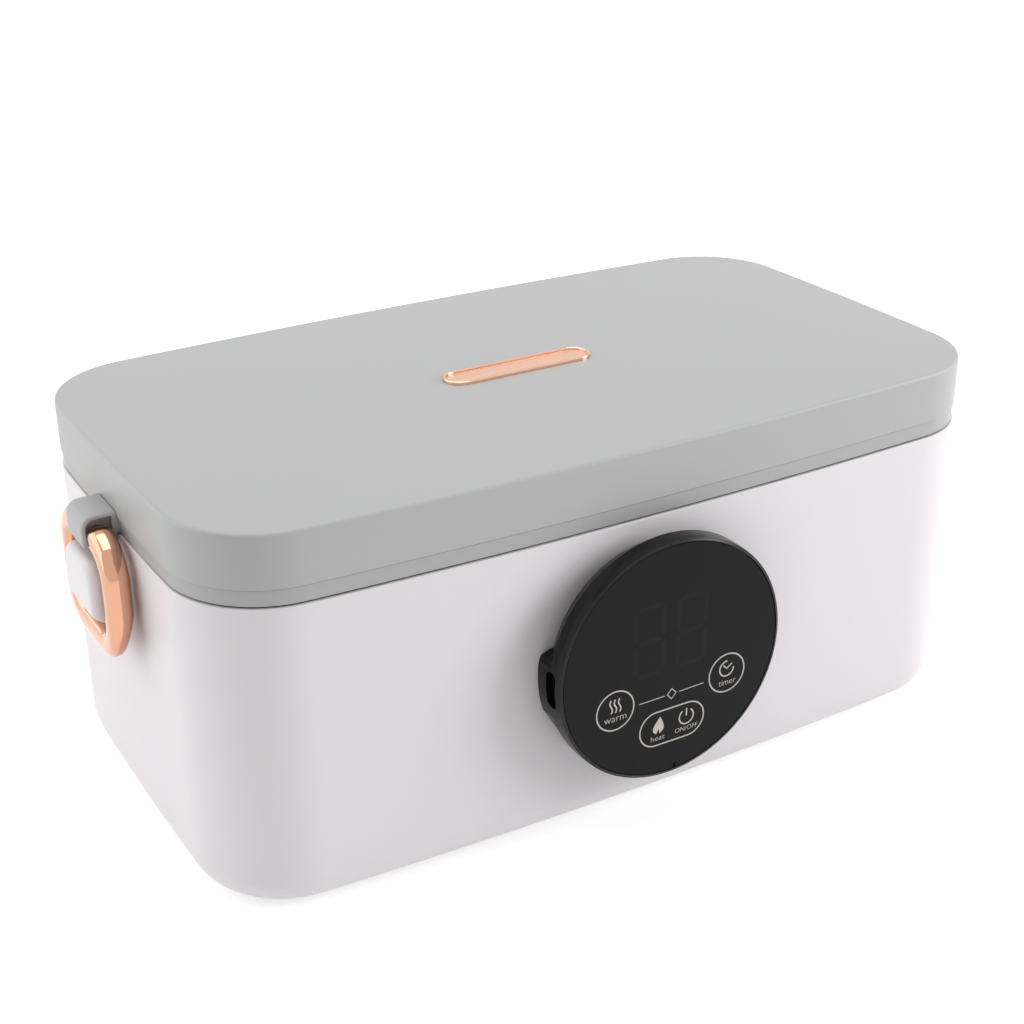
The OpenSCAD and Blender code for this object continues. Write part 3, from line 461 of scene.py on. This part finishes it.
class LUNCHBOX_OT_lid(Operator):
    """Builds the lid: cap with its plate recess, lower rim with skirt and hooks, gasket."""

    bl_idname = "lunch_box.lid"
    bl_label = "Lid"

    def execute(self, context):
        edge = context.scene.lunch_box_sizes.lid_edge / MM
        plate_low, plate_high = node_box("lid_plate")
        length, width = (plate_high - plate_low)[:2] + 0.2
        seat_z = plate_low[2]
        wall, step, joint_line = 2.2, z_step(), 0.22
        foot = step + joint_line
        profile = ([[wall, Z_TOP - wall], [wall, foot], [0.1, foot], [0, foot + 0.1]]
                   + bend(edge, Z_TOP - edge, edge, 0, 90, 8))
        grid = shell_grid(profile)
        angles = np.arctan2(grid[-1, :, 1] - CENTRE[1], grid[-1, :, 0] - CENTRE[0])
        recess = np.stack([stadium_ring(length, width, Z_TOP, angles),
                           stadium_ring(length, width, seat_z, angles)])
        cap = skin(np.concatenate([grid, recess]))
        make_object("lid_cap_shell", [cap], finish("lid"), "lid", ["lid_cap"])

        skirt, t, rib, rib_h = 5.2, 1.8, 2.3, 4
        tip, setback, corner = Z_SEAM - 4.8, 0.4, 0.15
        under, over = Z_SEAM + 0.2, Z_SEAM + 2.2
        rim = ([[skirt + t, under], [skirt + t, tip + 0.3], [skirt + t - 0.3, tip],
                [skirt + 0.4, tip], [skirt, tip + 0.8], [skirt, Z_SEAM],
                [setback + corner, Z_SEAM]]
               + bend(setback + corner, Z_SEAM + corner, corner, -90, 0, 3)
               + [[setback, step], [rib, step], [rib, step + rib_h], [rib + t, step + rib_h],
                  [rib + t, over]])
        parts = [skin(shell_grid(rim))]
        parts += [self.hook(side) for side in (-1, 1)]
        make_object("lid_rim", parts, finish("rim"), "lid", ["lid_base"])
        seal = [[5.1, Z_RIM], [1, Z_RIM], [1, Z_SEAM], [5.1, Z_SEAM]]
        make_object("lid_seal", [skin(shell_grid(seal), closed=True)], finish("seal"), "lid",
                    ["lid_gasket"])
        return {"FINISHED"}

    @staticmethod
    def hook(side):
        """Hook over a ring's journal: a C-shaped section carried across, hollow at both ends.

        In the middle the section's inner edge is the journal's bore; at the ends it is a wider
        pocket for the ring's bar. The outer edge shrinks along its normals by e*(1 - cos w)
        while the end moves in by e*(1 - sin w), which rounds the ends with the radius e.
        """
        seat, half_throat = JOURNAL_R + 0.06, 2.2
        out, low, roof, shoulder = 9.2, Z_HINGE - 1.8, Z_HINGE + 6.2, 3.5
        wall, half_w, pocket, e, base = 1.0, 6.6, 2.2, 0.7, 0.3
        a = math.degrees(math.asin(half_throat / seat))
        bore = arc_line(HINGE_OUT, Z_HINGE, seat, a - 90, 270 - a, 33)
        bore = np.vstack([[HINGE_OUT + half_throat, low], bore, [HINGE_OUT - half_throat, low]])
        inner = arc_line(out - shoulder, roof - shoulder, shoulder - wall, 0, 90, 13)
        inner = np.vstack([[out - wall, low], inner, [base + wall, roof - wall],
                           [base + wall, low]])
        run = np.append(0, np.cumsum(np.linalg.norm(np.diff(inner, axis=0), axis=1)))
        even = np.linspace(0, run[-1], len(bore))
        inner = np.column_stack([np.interp(even, run, inner[:, k]) for k in (0, 1)])
        root, z0, z1 = -1.5, Z_SEAM + 0.2, z_step() - 0.1
        back = [[base, low], [base, z0], [root, z0], [root, z1], [0.05, z1],
                [0.05, roof - 0.5], [0.2, roof - 0.15], [0.55, roof]]
        outer = np.vstack([back, arc_line(out - shoulder, roof - shoulder, shoulder, 90, 0, 13),
                           [out, low]])
        tangent = np.gradient(outer, axis=0)
        tangent /= np.linalg.norm(tangent, axis=1)[:, None]
        normal = np.column_stack([-tangent[:, 1], tangent[:, 0]])
        normal[:len(back) - 1] = 0

        def ring(y, inset, path):
            section = np.vstack([outer - normal * inset, path])
            return np.column_stack([section[:, 0], np.full(len(section), y), section[:, 1]])

        near = [ring(-half_w + e * (1 - math.cos(w)), e * (1 - math.sin(w)), inner)
                for w in np.radians([0, 22.5, 45, 67.5, 90])]
        near += [ring(pocket - half_w, 0, inner), ring(pocket - half_w, 0, bore)]
        far = [section * [1, -1, 1] for section in near[::-1]]
        return on_short_side(skin(np.array(near + far)), side)


class LUNCHBOX_OT_plate(Operator):
    """Builds the bare rose gold plate on the lid, with a rounded rim round a ribbed floor."""

    bl_idname = "lunch_box.plate"
    bl_label = "Lid plate"

    def execute(self, context):
        low, high = node_box("lid_plate")
        length, width = (high - low)[:2]
        angles = self.even_angles(length, width, 200)
        lip, lip_h = 0.9, 0.35
        w = np.radians(np.linspace(0, 180, 9))
        crown = np.column_stack([lip / 2 * (1 - np.cos(w)), high[2] - lip_h + lip_h * np.sin(w)])
        profile = [[0, low[2]], *crown, [lip, high[2] - 0.6]]
        rings = np.array([stadium_ring(length - 2 * t, width - 2 * t, z, angles)
                          for t, z in profile])
        make_object("lid_plate_rim", [skin(rings)], finish("gold"), "lid", ["lid_plate"])
        floor = np.array([stadium_ring(length - 2 * lip - 0.1, width - 2 * lip - 0.1, z, angles)
                          for z in (high[2] - 0.7, high[2] - 0.55)])
        make_object("lid_plate_floor", [skin(floor)], finish("ribs"), "lid")
        return {"FINISHED"}

    @staticmethod
    def even_angles(length, width, count):
        """Angles at which rays meet a stadium's edge at even steps along it."""
        r, m = width / 2, (length - width) / 2
        s = np.linspace(0, 4 * m + 2 * math.pi * r, count, endpoint=False)
        a, b, c = math.pi * r / 2, math.pi * r / 2 + 2 * m, 1.5 * math.pi * r + 2 * m
        d = c + 2 * m
        upto = [s < a, s < b, s < c, s < d]
        x = np.select(upto, [m + r * np.cos(s / r), m - (s - a), -m - r * np.sin((s - b) / r),
                             -m + (s - c)], m + r * np.sin((s - d) / r))
        y = np.select(upto, [r * np.sin(s / r), r, r * np.cos((s - b) / r), -r],
                      -r * np.cos((s - d) / r))
        return np.arctan2(y, x)


# --------------------------------------------------------------------------------------
# Clasps


class LUNCHBOX_OT_clasps(Operator):
    """Builds both ring clasps and the lugs that they close over."""

    bl_idname = "lunch_box.clasps"
    bl_label = "Clasps"

    def execute(self, context):
        for side, name in ((-1, "left"), (1, "right")):
            make_object(f"ring_{name}", self.ring(side, context), finish("ring"),
                        f"clasp_{name}", [f"clasp_ring_{name}"], 40)
            make_object(f"lug_{name}", [self.lug(side, name)], finish("shell"), "base",
                        [f"catch_lug_{name}"], 50)
        return {"FINISHED"}

    @staticmethod
    def ring(side, context):
        """Ring: a rounded section carried round a rounded rectangle, plus its journal.

        The section is the superellipse |u|^n + |v|^n = 1. Its depth eases from full on the
        side bars to the relieved depth of the lower bar, with the front face kept. Each open
        end shrinks by steps as it runs on into the hook.
        """
        bar = context.scene.lunch_box_sizes.ring_bar / MM
        depth, low_depth, power = 6.8, 4.7, 2.8
        width, drop, corner = 39.2, 28.5, 8.7
        mid = width / 2 - bar / 2
        cx = mid - corner

        def leg(x0, z0, x1, z1, n):
            u = np.linspace(0, 1, n, endpoint=False)[:, None]
            p = np.array([x0, z0]) * (1 - u) + np.array([x1, z1]) * u
            d = np.array([x1 - x0, z1 - z0]) / math.hypot(x1 - x0, z1 - z0)
            return np.hstack([p, np.broadcast_to([-d[1], d[0]], p.shape)])

        def turn(x, z, start, end, n, last=False):
            w = np.radians(np.linspace(start, end, n + 1))[: n + last]
            normal = np.column_stack([np.cos(w), np.sin(w)])
            return np.hstack([np.array([x, z]) + corner * normal, normal])

        path = np.vstack([
            turn(cx, -corner, 90, 0, 20),
            leg(mid, -corner, mid, corner - drop, 10),
            turn(cx, corner - drop, 0, -90, 20),
            leg(cx, -drop, -cx, -drop, 12),
            turn(-cx, corner - drop, 270, 180, 20),
            leg(-mid, corner - drop, -mid, -corner, 10),
            turn(-cx, -corner, 180, 90, 20, True)])
        normals = path[:, 2:]
        z = path[:, 1]
        ease = np.clip((z + drop - 2.5) / (corner + 1), 0, 1)
        ease = ease * ease * (3 - 2 * ease)
        d = low_depth + (depth - low_depth) * ease
        w = np.linspace(0, 2 * math.pi, 48, endpoint=False)
        c, n = np.cos(w), np.sin(w)
        u = bar / 2 * np.sign(c) * np.abs(c) ** (2 / power)
        v = d[:, None] / 2 * (np.sign(n) * np.abs(n) ** (2 / power))[None, :]
        out = HINGE_OUT + depth / 2 - d[:, None] / 2 + v
        lateral = path[:, 0, None] + normals[:, 0, None] * u[None, :]
        height = Z_HINGE + z[:, None] + normals[:, 1, None] * u[None, :]
        grid = np.stack([out, lateral, height], axis=-1)
        steps = np.array([(2.0, 0.80), (1.5, 0.87), (1.0, 0.93), (0.7, 0.965), (0.3, 0.99)])
        ends = []
        for face, way in ((grid[0], -1), (grid[-1], 1)):
            centre = face.mean(0)
            shift = steps[:, :1] * [0, way, 0]
            ends.append(centre + (face - centre) * steps[:, 1, None, None] + shift[:, None])
        grid = np.concatenate([ends[0], grid, ends[1][::-1]])
        journal = skin(revolve_grid([[JOURNAL_R, -cx - 1], [JOURNAL_R, cx + 1]], 48))
        journal = place(journal, Matrix.Translation((HINGE_OUT, 0, Z_HINGE))
                        @ Matrix.Rotation(math.radians(90), 4, "X"))
        return [on_short_side(part, side) for part in (skin(grid), journal)]

    @staticmethod
    def lug(side, name):
        """Lug: a rounded rectangle that shrinks towards its front like a pillow.

        The inset grows as a quarter ellipse over the last part of the depth, and every point
        stays above the sloping underside.
        """
        low, high = node_box(f"catch_lug_{name}")
        half, tall = (high - low)[1:] / 2
        mid = (high[2] + low[2]) / 2
        depth, corner, back, rise = 10.0, 5.6, 3.6, 4.72
        pillow, pillow_in = 2.6, 2.2
        w = np.radians(np.concatenate([np.linspace(90 * k, 90 * k + 90, 13) for k in range(4)]))
        sy = np.repeat([1, -1, -1, 1], 13)
        sz = np.repeat([1, 1, -1, -1], 13)
        q = np.radians(np.linspace(0, 90, 11))
        stations = [(0.0, 0.0), (back, 0.0), (6.0, 0.0)]
        stations += [(depth - pillow + pillow * math.sin(x), pillow_in * (1 - math.cos(x)))
                     for x in q]
        rings = []
        for x, inset in stations:
            r = corner - inset
            y = sy * (half - corner) + r * np.cos(w)
            z = mid + sz * (tall - corner) + r * np.sin(w)
            floor = low[2] + max(0.0, x - back) * rise / (depth - back)
            rings.append(np.column_stack([np.full(w.shape, x), y, np.maximum(z, floor)]))
        return on_short_side(skin(np.array(rings)), side)


# --------------------------------------------------------------------------------------
# Touch panel


def ribbon(points, width, closed=False):
    """Flat strip along a line: each point moved half a width to both sides of the tangent."""
    p = np.asarray(points, float)
    if closed:
        tangent = np.roll(p, -1, 0) - np.roll(p, 1, 0)
    else:
        tangent = np.gradient(p, axis=0)
    tangent /= np.linalg.norm(tangent, axis=1)[:, None]
    side = np.column_stack([-tangent[:, 1], tangent[:, 0]]) * width / 2
    verts = np.vstack([p + side, p - side])
    n = len(p)
    i = np.arange(n if closed else n - 1)
    k = (i + 1) % n
    return verts, np.column_stack([i, i + n, k + n, k]).tolist()


def arc_line(x, y, r, start, end, steps=48):
    """Points on a circle from one angle to the other, in degrees."""
    w = np.radians(np.linspace(start, end, steps))
    return np.column_stack([x + r * np.cos(w), y + r * np.sin(w)])


def pill_line(x, y, half_length, r):
    """Points round a stadium."""
    m = half_length - r
    return np.vstack([arc_line(x + m, y, r, -90, 90, 24),
                      arc_line(x - m, y, r, 90, 270, 24)])


def on_lens(part, lift):
    """A flat part in panel coordinates, set upright just in front of the lens."""
    verts, faces = part
    flat = np.asarray(verts, float)
    placed = np.column_stack([CENTRE[0] + flat[:, 0], np.full(len(flat), LENS_Y - lift),
                              Z_PANEL + flat[:, 1]])
    return placed, faces


def facing_front(part):
    """The same flat part with its faces turned towards -Y."""
    verts, faces = part
    fixed = []
    for f in faces:
        a, b, c = verts[f[0]], verts[f[1]], verts[f[2]]
        fixed.append(f if np.cross(b - a, c - a)[1] < 0 else f[::-1])
    return verts, fixed


def word(text, x, y, size, width):
    """A short generic word as a flat part: a font curve made a mesh, centred on (x, y).

    size sets the letters' height, and the word is then drawn out or in to its width.
    """
    curve = bpy.data.curves.new(text, "FONT")
    curve.body = text
    curve.size = size
    curve.offset = -0.012 * size
    curve.align_x = "CENTER"
    curve.align_y = "CENTER"
    curve.resolution_u = 4
    holder = bpy.data.objects.new(text, curve)
    bpy.context.scene.collection.objects.link(holder)
    bpy.context.view_layer.update()
    mesh = bpy.data.meshes.new_from_object(holder)
    verts = np.zeros(len(mesh.vertices) * 3)
    mesh.vertices.foreach_get("co", verts)
    verts = verts.reshape(-1, 3)[:, :2]
    faces = [list(p.vertices) for p in mesh.polygons]
    bpy.data.objects.remove(holder)
    bpy.data.curves.remove(curve)
    bpy.data.meshes.remove(mesh)
    return verts * [width / np.ptp(verts[:, 0]), 1] + [x, y], faces


class LUNCHBOX_OT_panel(Operator):
    """Builds the touch panel's bezel, printed marks, unlit digits and the painted shadow of its
    notch.

    Their places are millimetres from the panel's centre, to the right and up.
    """

    bl_idname = "lunch_box.panel"
    bl_label = "Touch panel"

    def execute(self, context):
        line = context.scene.lunch_box_sizes.mark_line / MM
        refinish("black", "panel_housing", "port_socket")
        refinish("lens", "panel_lens")
        make_object("panel_rim", [self.rim()], finish("trim"), "base", ["panel_bezel"])
        parts = [self.frames(line), self.warm(line), self.timer(line), self.power(line),
                 self.flame()]
        flat = [p for group in parts for p in group]
        flat += [word("warm", -17.5, -11.9, 3.0, 6.8), word("timer", 18.0, -11.9, 2.6, 5.5),
                 word("heat", -4.1, -22.3, 2.3, 4.3), word("ON/OFF", 5.1, -22.1, 2.0, 7.2)]
        marks = [facing_front(on_lens(p, 0.02)) for p in flat]
        make_object("panel_marks", marks, finish("marks"), "base")
        digits = [facing_front(on_lens(p, 0.01)) for p in self.digits()]
        make_object("panel_digits", digits, finish("dead"), "base")
        # Painted shadow: a black strip just in front of the lens paints the shade of the notch at
        # the panel's lower edge.
        notch = facing_front(on_lens(ribbon([(1.6, -31.8), (1.7, -33.3)], 0.5), 0.02))
        make_object("panel_notch_shadow", [notch], finish("gap"), "base")
        return {"FINISHED"}

    @staticmethod
    def rim():
        """Bezel: a ring with rounded front edges round the lens."""
        low, high = node_box("panel_bezel")
        r, deep, width, flange = (high - low)[2] / 2, (high - low)[1], 0.9, 3.3
        seat, outer_e, inner_e = high[1] - LENS_HIGH[1], 0.14, 0.12
        profile = (bend(r - outer_e, deep - outer_e, -outer_e, 180, 90, 5)
                   + bend(r - width + inner_e, deep - inner_e, inner_e, 90, 0, 5)
                   + [[r - width, seat], [r - flange, seat], [r - flange, 0], [r, 0]])
        upright = Matrix.Rotation(math.radians(90), 4, "X")
        return place(skin(revolve_grid(profile, 240), closed=True),
                     Matrix.Translation((CENTRE[0], high[1], Z_PANEL)) @ upright)

    @staticmethod
    def frames(line):
        """Two circles, the pill round the lower keys and the line between the circles."""
        w, thin = line * 1.15, line * 0.7
        r, last = 5.7, 360 - 7.5
        return [ribbon(arc_line(-17.6, -9.65, r, 0, last), w, True),
                ribbon(arc_line(17.7, -9.0, r, 0, last), w, True),
                ribbon(pill_line(0.4, -19.35, 10.2, 5.1), w, True),
                ribbon([(-10.2, -10.1), (-2.2, -10.0)], thin),
                ribbon([(2.3, -10.0), (10.2, -9.8)], thin),
                ribbon([(0, -8.4), (1.4, -9.95), (0, -11.5), (-1.4, -9.95)], line, True)]

    @staticmethod
    def warm(line):
        """Three rising wavy strokes: x follows a sine of the height."""
        low, tall, swing = -10.2, 4.0, 0.38
        y = np.linspace(low, low + tall, 24)
        wave = swing * np.sin((y - low) / tall * 2 * math.pi)
        return [ribbon(np.column_stack([x + wave, y]), line * 1.2) for x in (-18.9, -17.6, -16.3)]

    @staticmethod
    def timer(line):
        """Clock: a circle open at its upper right, with two hands."""
        x, y, r = 17.65, -7.7, 2.25
        return [ribbon(arc_line(x, y, r, 86, 360), line * 1.2),
                ribbon([(x - 1.1, y + 1.2), (x, y)], line * 1.1),
                ribbon([(x, y), (x + 1.7, y + 1.2)], line * 1.1)]

    @staticmethod
    def power(line):
        """Power key: a circle open at the top with a bar in the gap."""
        x, y, r = 5.0, -18.4, 2.25
        return [ribbon(arc_line(x, y, r, 125, 415), line * 1.2),
                ribbon([(x, y + 0.2), (x, y + 2.5)], line * 1.2)]

    @staticmethod
    def flame():
        """Flame: a filled drop whose foot is cut by a notch between two lobes."""
        n = 40
        t = np.linspace(0, 1, n)
        x, y, tall = -4.0, -21.0, 5.0
        half = 2.0 * np.sin(math.pi * t**0.75) ** 0.8 * (1 - 0.4 * t)
        lean = 0.6 * t * t
        notch = np.clip(1 - t / 0.3, 0, 1) * 0.55
        up = y + tall * t
        i = np.arange(n - 1)
        faces = np.column_stack([i, i + n, i + n + 1, i + 1]).tolist()
        half = np.maximum(half, notch + 0.1)
        return [(np.vstack([np.column_stack([x + lean + sign * half, up]),
                            np.column_stack([x + lean + sign * notch, up])]), faces)
                for sign in (-1, 1)]

    @staticmethod
    def digits():
        """Unlit figures: two seven-bar digits, each bar a short strip, and their units."""
        bars = (((-1, 1), (1, 1)), ((-1, 0), (1, 0)), ((-1, -1), (1, -1)), ((1, 1), (1, 0)),
                ((1, 0), (1, -1)), ((-1, -1), (-1, 0)), ((-1, 0), (-1, 1)))
        parts = [word("\u00b0C", 17.8, 15.4, 3.4, 3.2), word("m", 16.8, 0.6, 3.0, 2.6)]
        half_w, half_h, bar, gap = 4.3, 9.8, 1.2, 0.9
        for x in (-7.35, 5.75):
            for ends in bars:
                p = np.array(ends) * [half_w, half_h] + [x, 7.8]
                d = (p[1] - p[0]) / np.linalg.norm(p[1] - p[0])
                parts.append(ribbon([p[0] + gap * d, p[1] - gap * d], bar))
        return parts


# --------------------------------------------------------------------------------------
# Inside


class LUNCHBOX_OT_inside(Operator):
    """Builds the liner, the steel tray, its lid and its seal."""

    bl_idname = "lunch_box.inside"
    bl_label = "Inside"

    def execute(self, context):
        t, z0, z1 = 1.6, *self.heights("inner_liner")
        liner = ([[22, z0], [11, z0]] + bend(11, z0 + 3, 3, -90, 0, 6)
                 + [[8, z1 - t], [2.7, z1 - t], [2.7, z1]] + bend(9.1, z1 - 0.5, -0.5, -90, -180, 4)
                 + bend(12, z0 + t + 2.4, 2.4, 0, -90, 6) + [[22, z0 + t]])
        make_object("liner_shell", [skin(shell_grid(liner), closed=True)], finish("liner"),
                    "base", ["inner_liner"])

        r, t, z0, flange = 6.0, 0.8, *self.heights("food_tray")
        tray = (bend(18, z0 + r, r, -90, 0, 10) + [[12, flange - t], [8.9, flange - t]]
                + bend(9.2, flange - 0.4, 0.4, -90, 90, 6)
                + bend(12.3, flange - 0.5, -0.5, -90, -180, 4)
                + bend(18, z0 + r, r - t, 0, -90, 10))
        make_object("tray_shell", [skin(shell_grid(tray))], finish("steel"), "tray",
                    ["food_tray"])

        channel, (base, top), edge = flange + 1.4, self.heights("tray_lid"), 1.2
        hem = flange - t - 0.6
        cover = ([[14.6, top - edge], [14.6, base], [13.4, base], [13.4, channel],
                  [8.4, channel], [8.4, hem], [7.5, hem]]
                 + bend(8.7, top - edge, edge, 0, 90, 6))
        make_object("tray_cover", [skin(shell_grid(cover))], finish("milky"), "tray_lid",
                    ["tray_lid"])
        seal = [[12.5, flange], [9.3, flange], [9.3, channel], [12.5, channel]]
        make_object("tray_seal", [skin(shell_grid(seal), closed=True)], finish("pale_seal"),
                    "tray_lid", ["tray_gasket"])
        refinish("coral", "vent_plug")
        return {"FINISHED"}

    @staticmethod
    def heights(node):
        """Lowest and highest Z of a CAD node."""
        low, high = node_box(node)
        return low[2], high[2]


class LUNCHBOX_OT_works(Operator):
    """Puts finishes on the heater, the boards, the leads and the foam inside the shells."""

    bl_idname = "lunch_box.works"
    bl_label = "Works"

    def execute(self, context):
        refinish("rolled", "heating_plate", "temperature_sensor")
        refinish("sheet", "clamp_plate")
        refinish("heater", "heater_pad")
        refinish("felt", "insulation_pad")
        refinish("ceramic", "thermal_fuse")
        refinish("board", "power_board", "panel_board")
        refinish("red_lead", "heater_leads")
        refinish("black_lead", "panel_lead")
        refinish("reflector", "display_module")
        refinish("foam", "lid_insulation")
        refinish("zinc", "clamp_screws", "board_screws", "panel_screws", "touch_springs")
        return {"FINISHED"}


class LUNCHBOX_OT_underside(Operator):
    """Puts finishes on the feet, the base cover and the screws."""

    bl_idname = "lunch_box.underside"
    bl_label = "Underside"

    def execute(self, context):
        refinish("foot", "feet")
        refinish("cover", "base_cover")
        refinish("zinc", "base_screws", "liner_screws", "lid_screws", "lug_screws")
        return {"FINISHED"}


# --------------------------------------------------------------------------------------
# Studio

FLOOR_HALF = 6.0
FLOOR_GLOW = 0.5
FLOOR_BOUNCE = 0.07
WORLD_LIGHT = 0.36
AIM = (0, 0, 0.05)
IMAGE_PIXELS = 1024
SENSOR_MM = 36


def seen_rays(tree, other, seen):
    """Socket worth seen on camera, glossy and transmission rays, and other on the rest."""
    path = tree.nodes.new("ShaderNodeLightPath")
    either = tree.nodes.new("ShaderNodeMath")
    either.operation = "ADD"
    any_of = tree.nodes.new("ShaderNodeMath")
    any_of.operation = "ADD"
    level = tree.nodes.new("ShaderNodeMapRange")
    level.inputs["To Min"].default_value = other
    level.inputs["To Max"].default_value = seen
    tree.links.new(path.outputs["Is Camera Ray"], either.inputs[0])
    tree.links.new(path.outputs["Is Glossy Ray"], either.inputs[1])
    tree.links.new(either.outputs[0], any_of.inputs[0])
    tree.links.new(path.outputs["Is Transmission Ray"], any_of.inputs[1])
    tree.links.new(any_of.outputs[0], level.inputs["Value"])
    return level.outputs["Result"]


class LUNCHBOX_OT_studio(Operator):
    """Sets up the pale floor, the soft lights, the white world and the camera."""

    bl_idname = "lunch_box.studio"
    bl_label = "Studio"

    def execute(self, context):
        self.floor()
        self.world()
        self.lamp("Right softbox", (1.15, -0.75, 0.55), 0.8, 12)
        self.lamp("Left softbox", (-1.15, 0.6, 0.55), 1.6, 9.6)
        self.lamp("Top softbox", (0.0, 0.2, 1.4), 1.2, 8.8)
        self.camera()
        context.scene.view_settings.view_transform = "Standard"
        return {"FINISHED"}

    @staticmethod
    def floor():
        """A wide pale plane, lighter to the camera, so that it fills the view with white."""
        material, tree, shader = new_finish("Studio floor", (0.86, 0.86, 0.86), 0.9)
        shader.inputs["Emission Color"].default_value = (1, 1, 1, 1)
        glow = seen_rays(tree, FLOOR_BOUNCE, FLOOR_GLOW)
        tree.links.new(glow, shader.inputs["Emission Strength"])
        mesh = bpy.data.meshes.new("studio_floor")
        s = FLOOR_HALF
        mesh.from_pydata([(-s, -s, 0), (s, -s, 0), (s, s, 0), (-s, s, 0)], [], [(0, 1, 2, 3)])
        mesh.materials.append(material)
        obj = bpy.data.objects.new("studio_floor", mesh)
        bpy.context.scene.collection.objects.link(obj)

    @staticmethod
    def world():
        """White to the camera, a softer grey to everything else."""
        world = bpy.data.worlds.new("Studio world")
        bpy.context.scene.world = world
        world.use_nodes = True
        tree = world.node_tree
        background = tree.nodes["Background"]
        background.inputs["Color"].default_value = (1, 1, 1, 1)
        tree.links.new(seen_rays(tree, WORLD_LIGHT, 1.0), background.inputs["Strength"])

    @staticmethod
    def lamp(name, at, size, watts):
        """A square soft light at a place, aimed at the middle of the box."""
        data = bpy.data.lights.new(name, "AREA")
        data.size = size
        data.energy = watts
        obj = bpy.data.objects.new(name, data)
        aim = Vector(AIM) - Vector(at)
        obj.matrix_world = (Matrix.Translation(at)
                            @ aim.to_track_quat("-Z", "Y").to_matrix().to_4x4())
        bpy.context.scene.collection.objects.link(obj)

    @staticmethod
    def camera():
        """The photograph's view, from a fit of the box's edges and the panel's rim."""
        turn, tilt, roll = (math.radians(v) for v in (-29.9986, 25.0894, -0.6126))
        away, shift_x, shift_y, focal = 0.523543, 0.002590, -0.055043, 1705.588
        back = Vector((math.sin(turn) * math.cos(tilt), -math.cos(turn) * math.cos(tilt),
                       math.sin(tilt)))
        right = (-back).cross(Vector((0, 0, 1))).normalized()
        up = right.cross(-back)
        across = right * math.cos(roll) + up * math.sin(roll)
        upward = up * math.cos(roll) - right * math.sin(roll)
        place_at = (back * away - across * shift_x - upward * shift_y
                    + Vector((0, CENTRE[1] * MM, Z_LOW * MM)))
        data = bpy.data.cameras.new("Photo camera")
        data.sensor_width = SENSOR_MM
        data.lens = focal / IMAGE_PIXELS * SENSOR_MM
        data.clip_start = 0.01
        obj = bpy.data.objects.new("Photo camera", data)
        axes = Matrix((across, upward, back)).transposed().to_4x4()
        obj.matrix_world = Matrix.Translation(place_at) @ axes
        bpy.context.scene.collection.objects.link(obj)
        bpy.context.scene.camera = obj


# --------------------------------------------------------------------------------------
# Panel and registration


PIECES = (LUNCHBOX_OT_body, LUNCHBOX_OT_lid, LUNCHBOX_OT_plate, LUNCHBOX_OT_clasps,
          LUNCHBOX_OT_panel, LUNCHBOX_OT_inside, LUNCHBOX_OT_works, LUNCHBOX_OT_underside,
          LUNCHBOX_OT_studio)


class LUNCHBOX_PT_pieces(Panel):
    """Lists the lunch box's pieces, sizes and colours in the sidebar."""

    bl_label = "Lunch box"
    bl_idname = "LUNCHBOX_PT_pieces"
    bl_space_type = "VIEW_3D"
    bl_region_type = "UI"
    bl_category = "Lunch box"

    def draw(self, context):
        scene = context.scene
        for group in (scene.lunch_box_sizes, scene.lunch_box_colours):
            for name in group.__annotations__:
                self.layout.prop(group, name)
        for piece in PIECES:
            self.layout.operator(piece.bl_idname)


CLASSES = (LunchBoxSizes, LunchBoxColours, *PIECES, LUNCHBOX_PT_pieces)


def register():
    for cls in CLASSES:
        bpy.utils.register_class(cls)
    bpy.types.Scene.lunch_box_sizes = PointerProperty(type=LunchBoxSizes)
    bpy.types.Scene.lunch_box_colours = PointerProperty(type=LunchBoxColours)


def unregister():
    del bpy.types.Scene.lunch_box_colours
    del bpy.types.Scene.lunch_box_sizes
    for cls in reversed(CLASSES):
        bpy.utils.unregister_class(cls)


def main():
    register()
    bpy.ops.lunch_box.body()
    bpy.ops.lunch_box.lid()
    bpy.ops.lunch_box.plate()
    bpy.ops.lunch_box.clasps()
    bpy.ops.lunch_box.panel()
    bpy.ops.lunch_box.inside()
    bpy.ops.lunch_box.works()
    bpy.ops.lunch_box.underside()
    bpy.ops.lunch_box.studio()


if __name__ == "__main__":
    main()
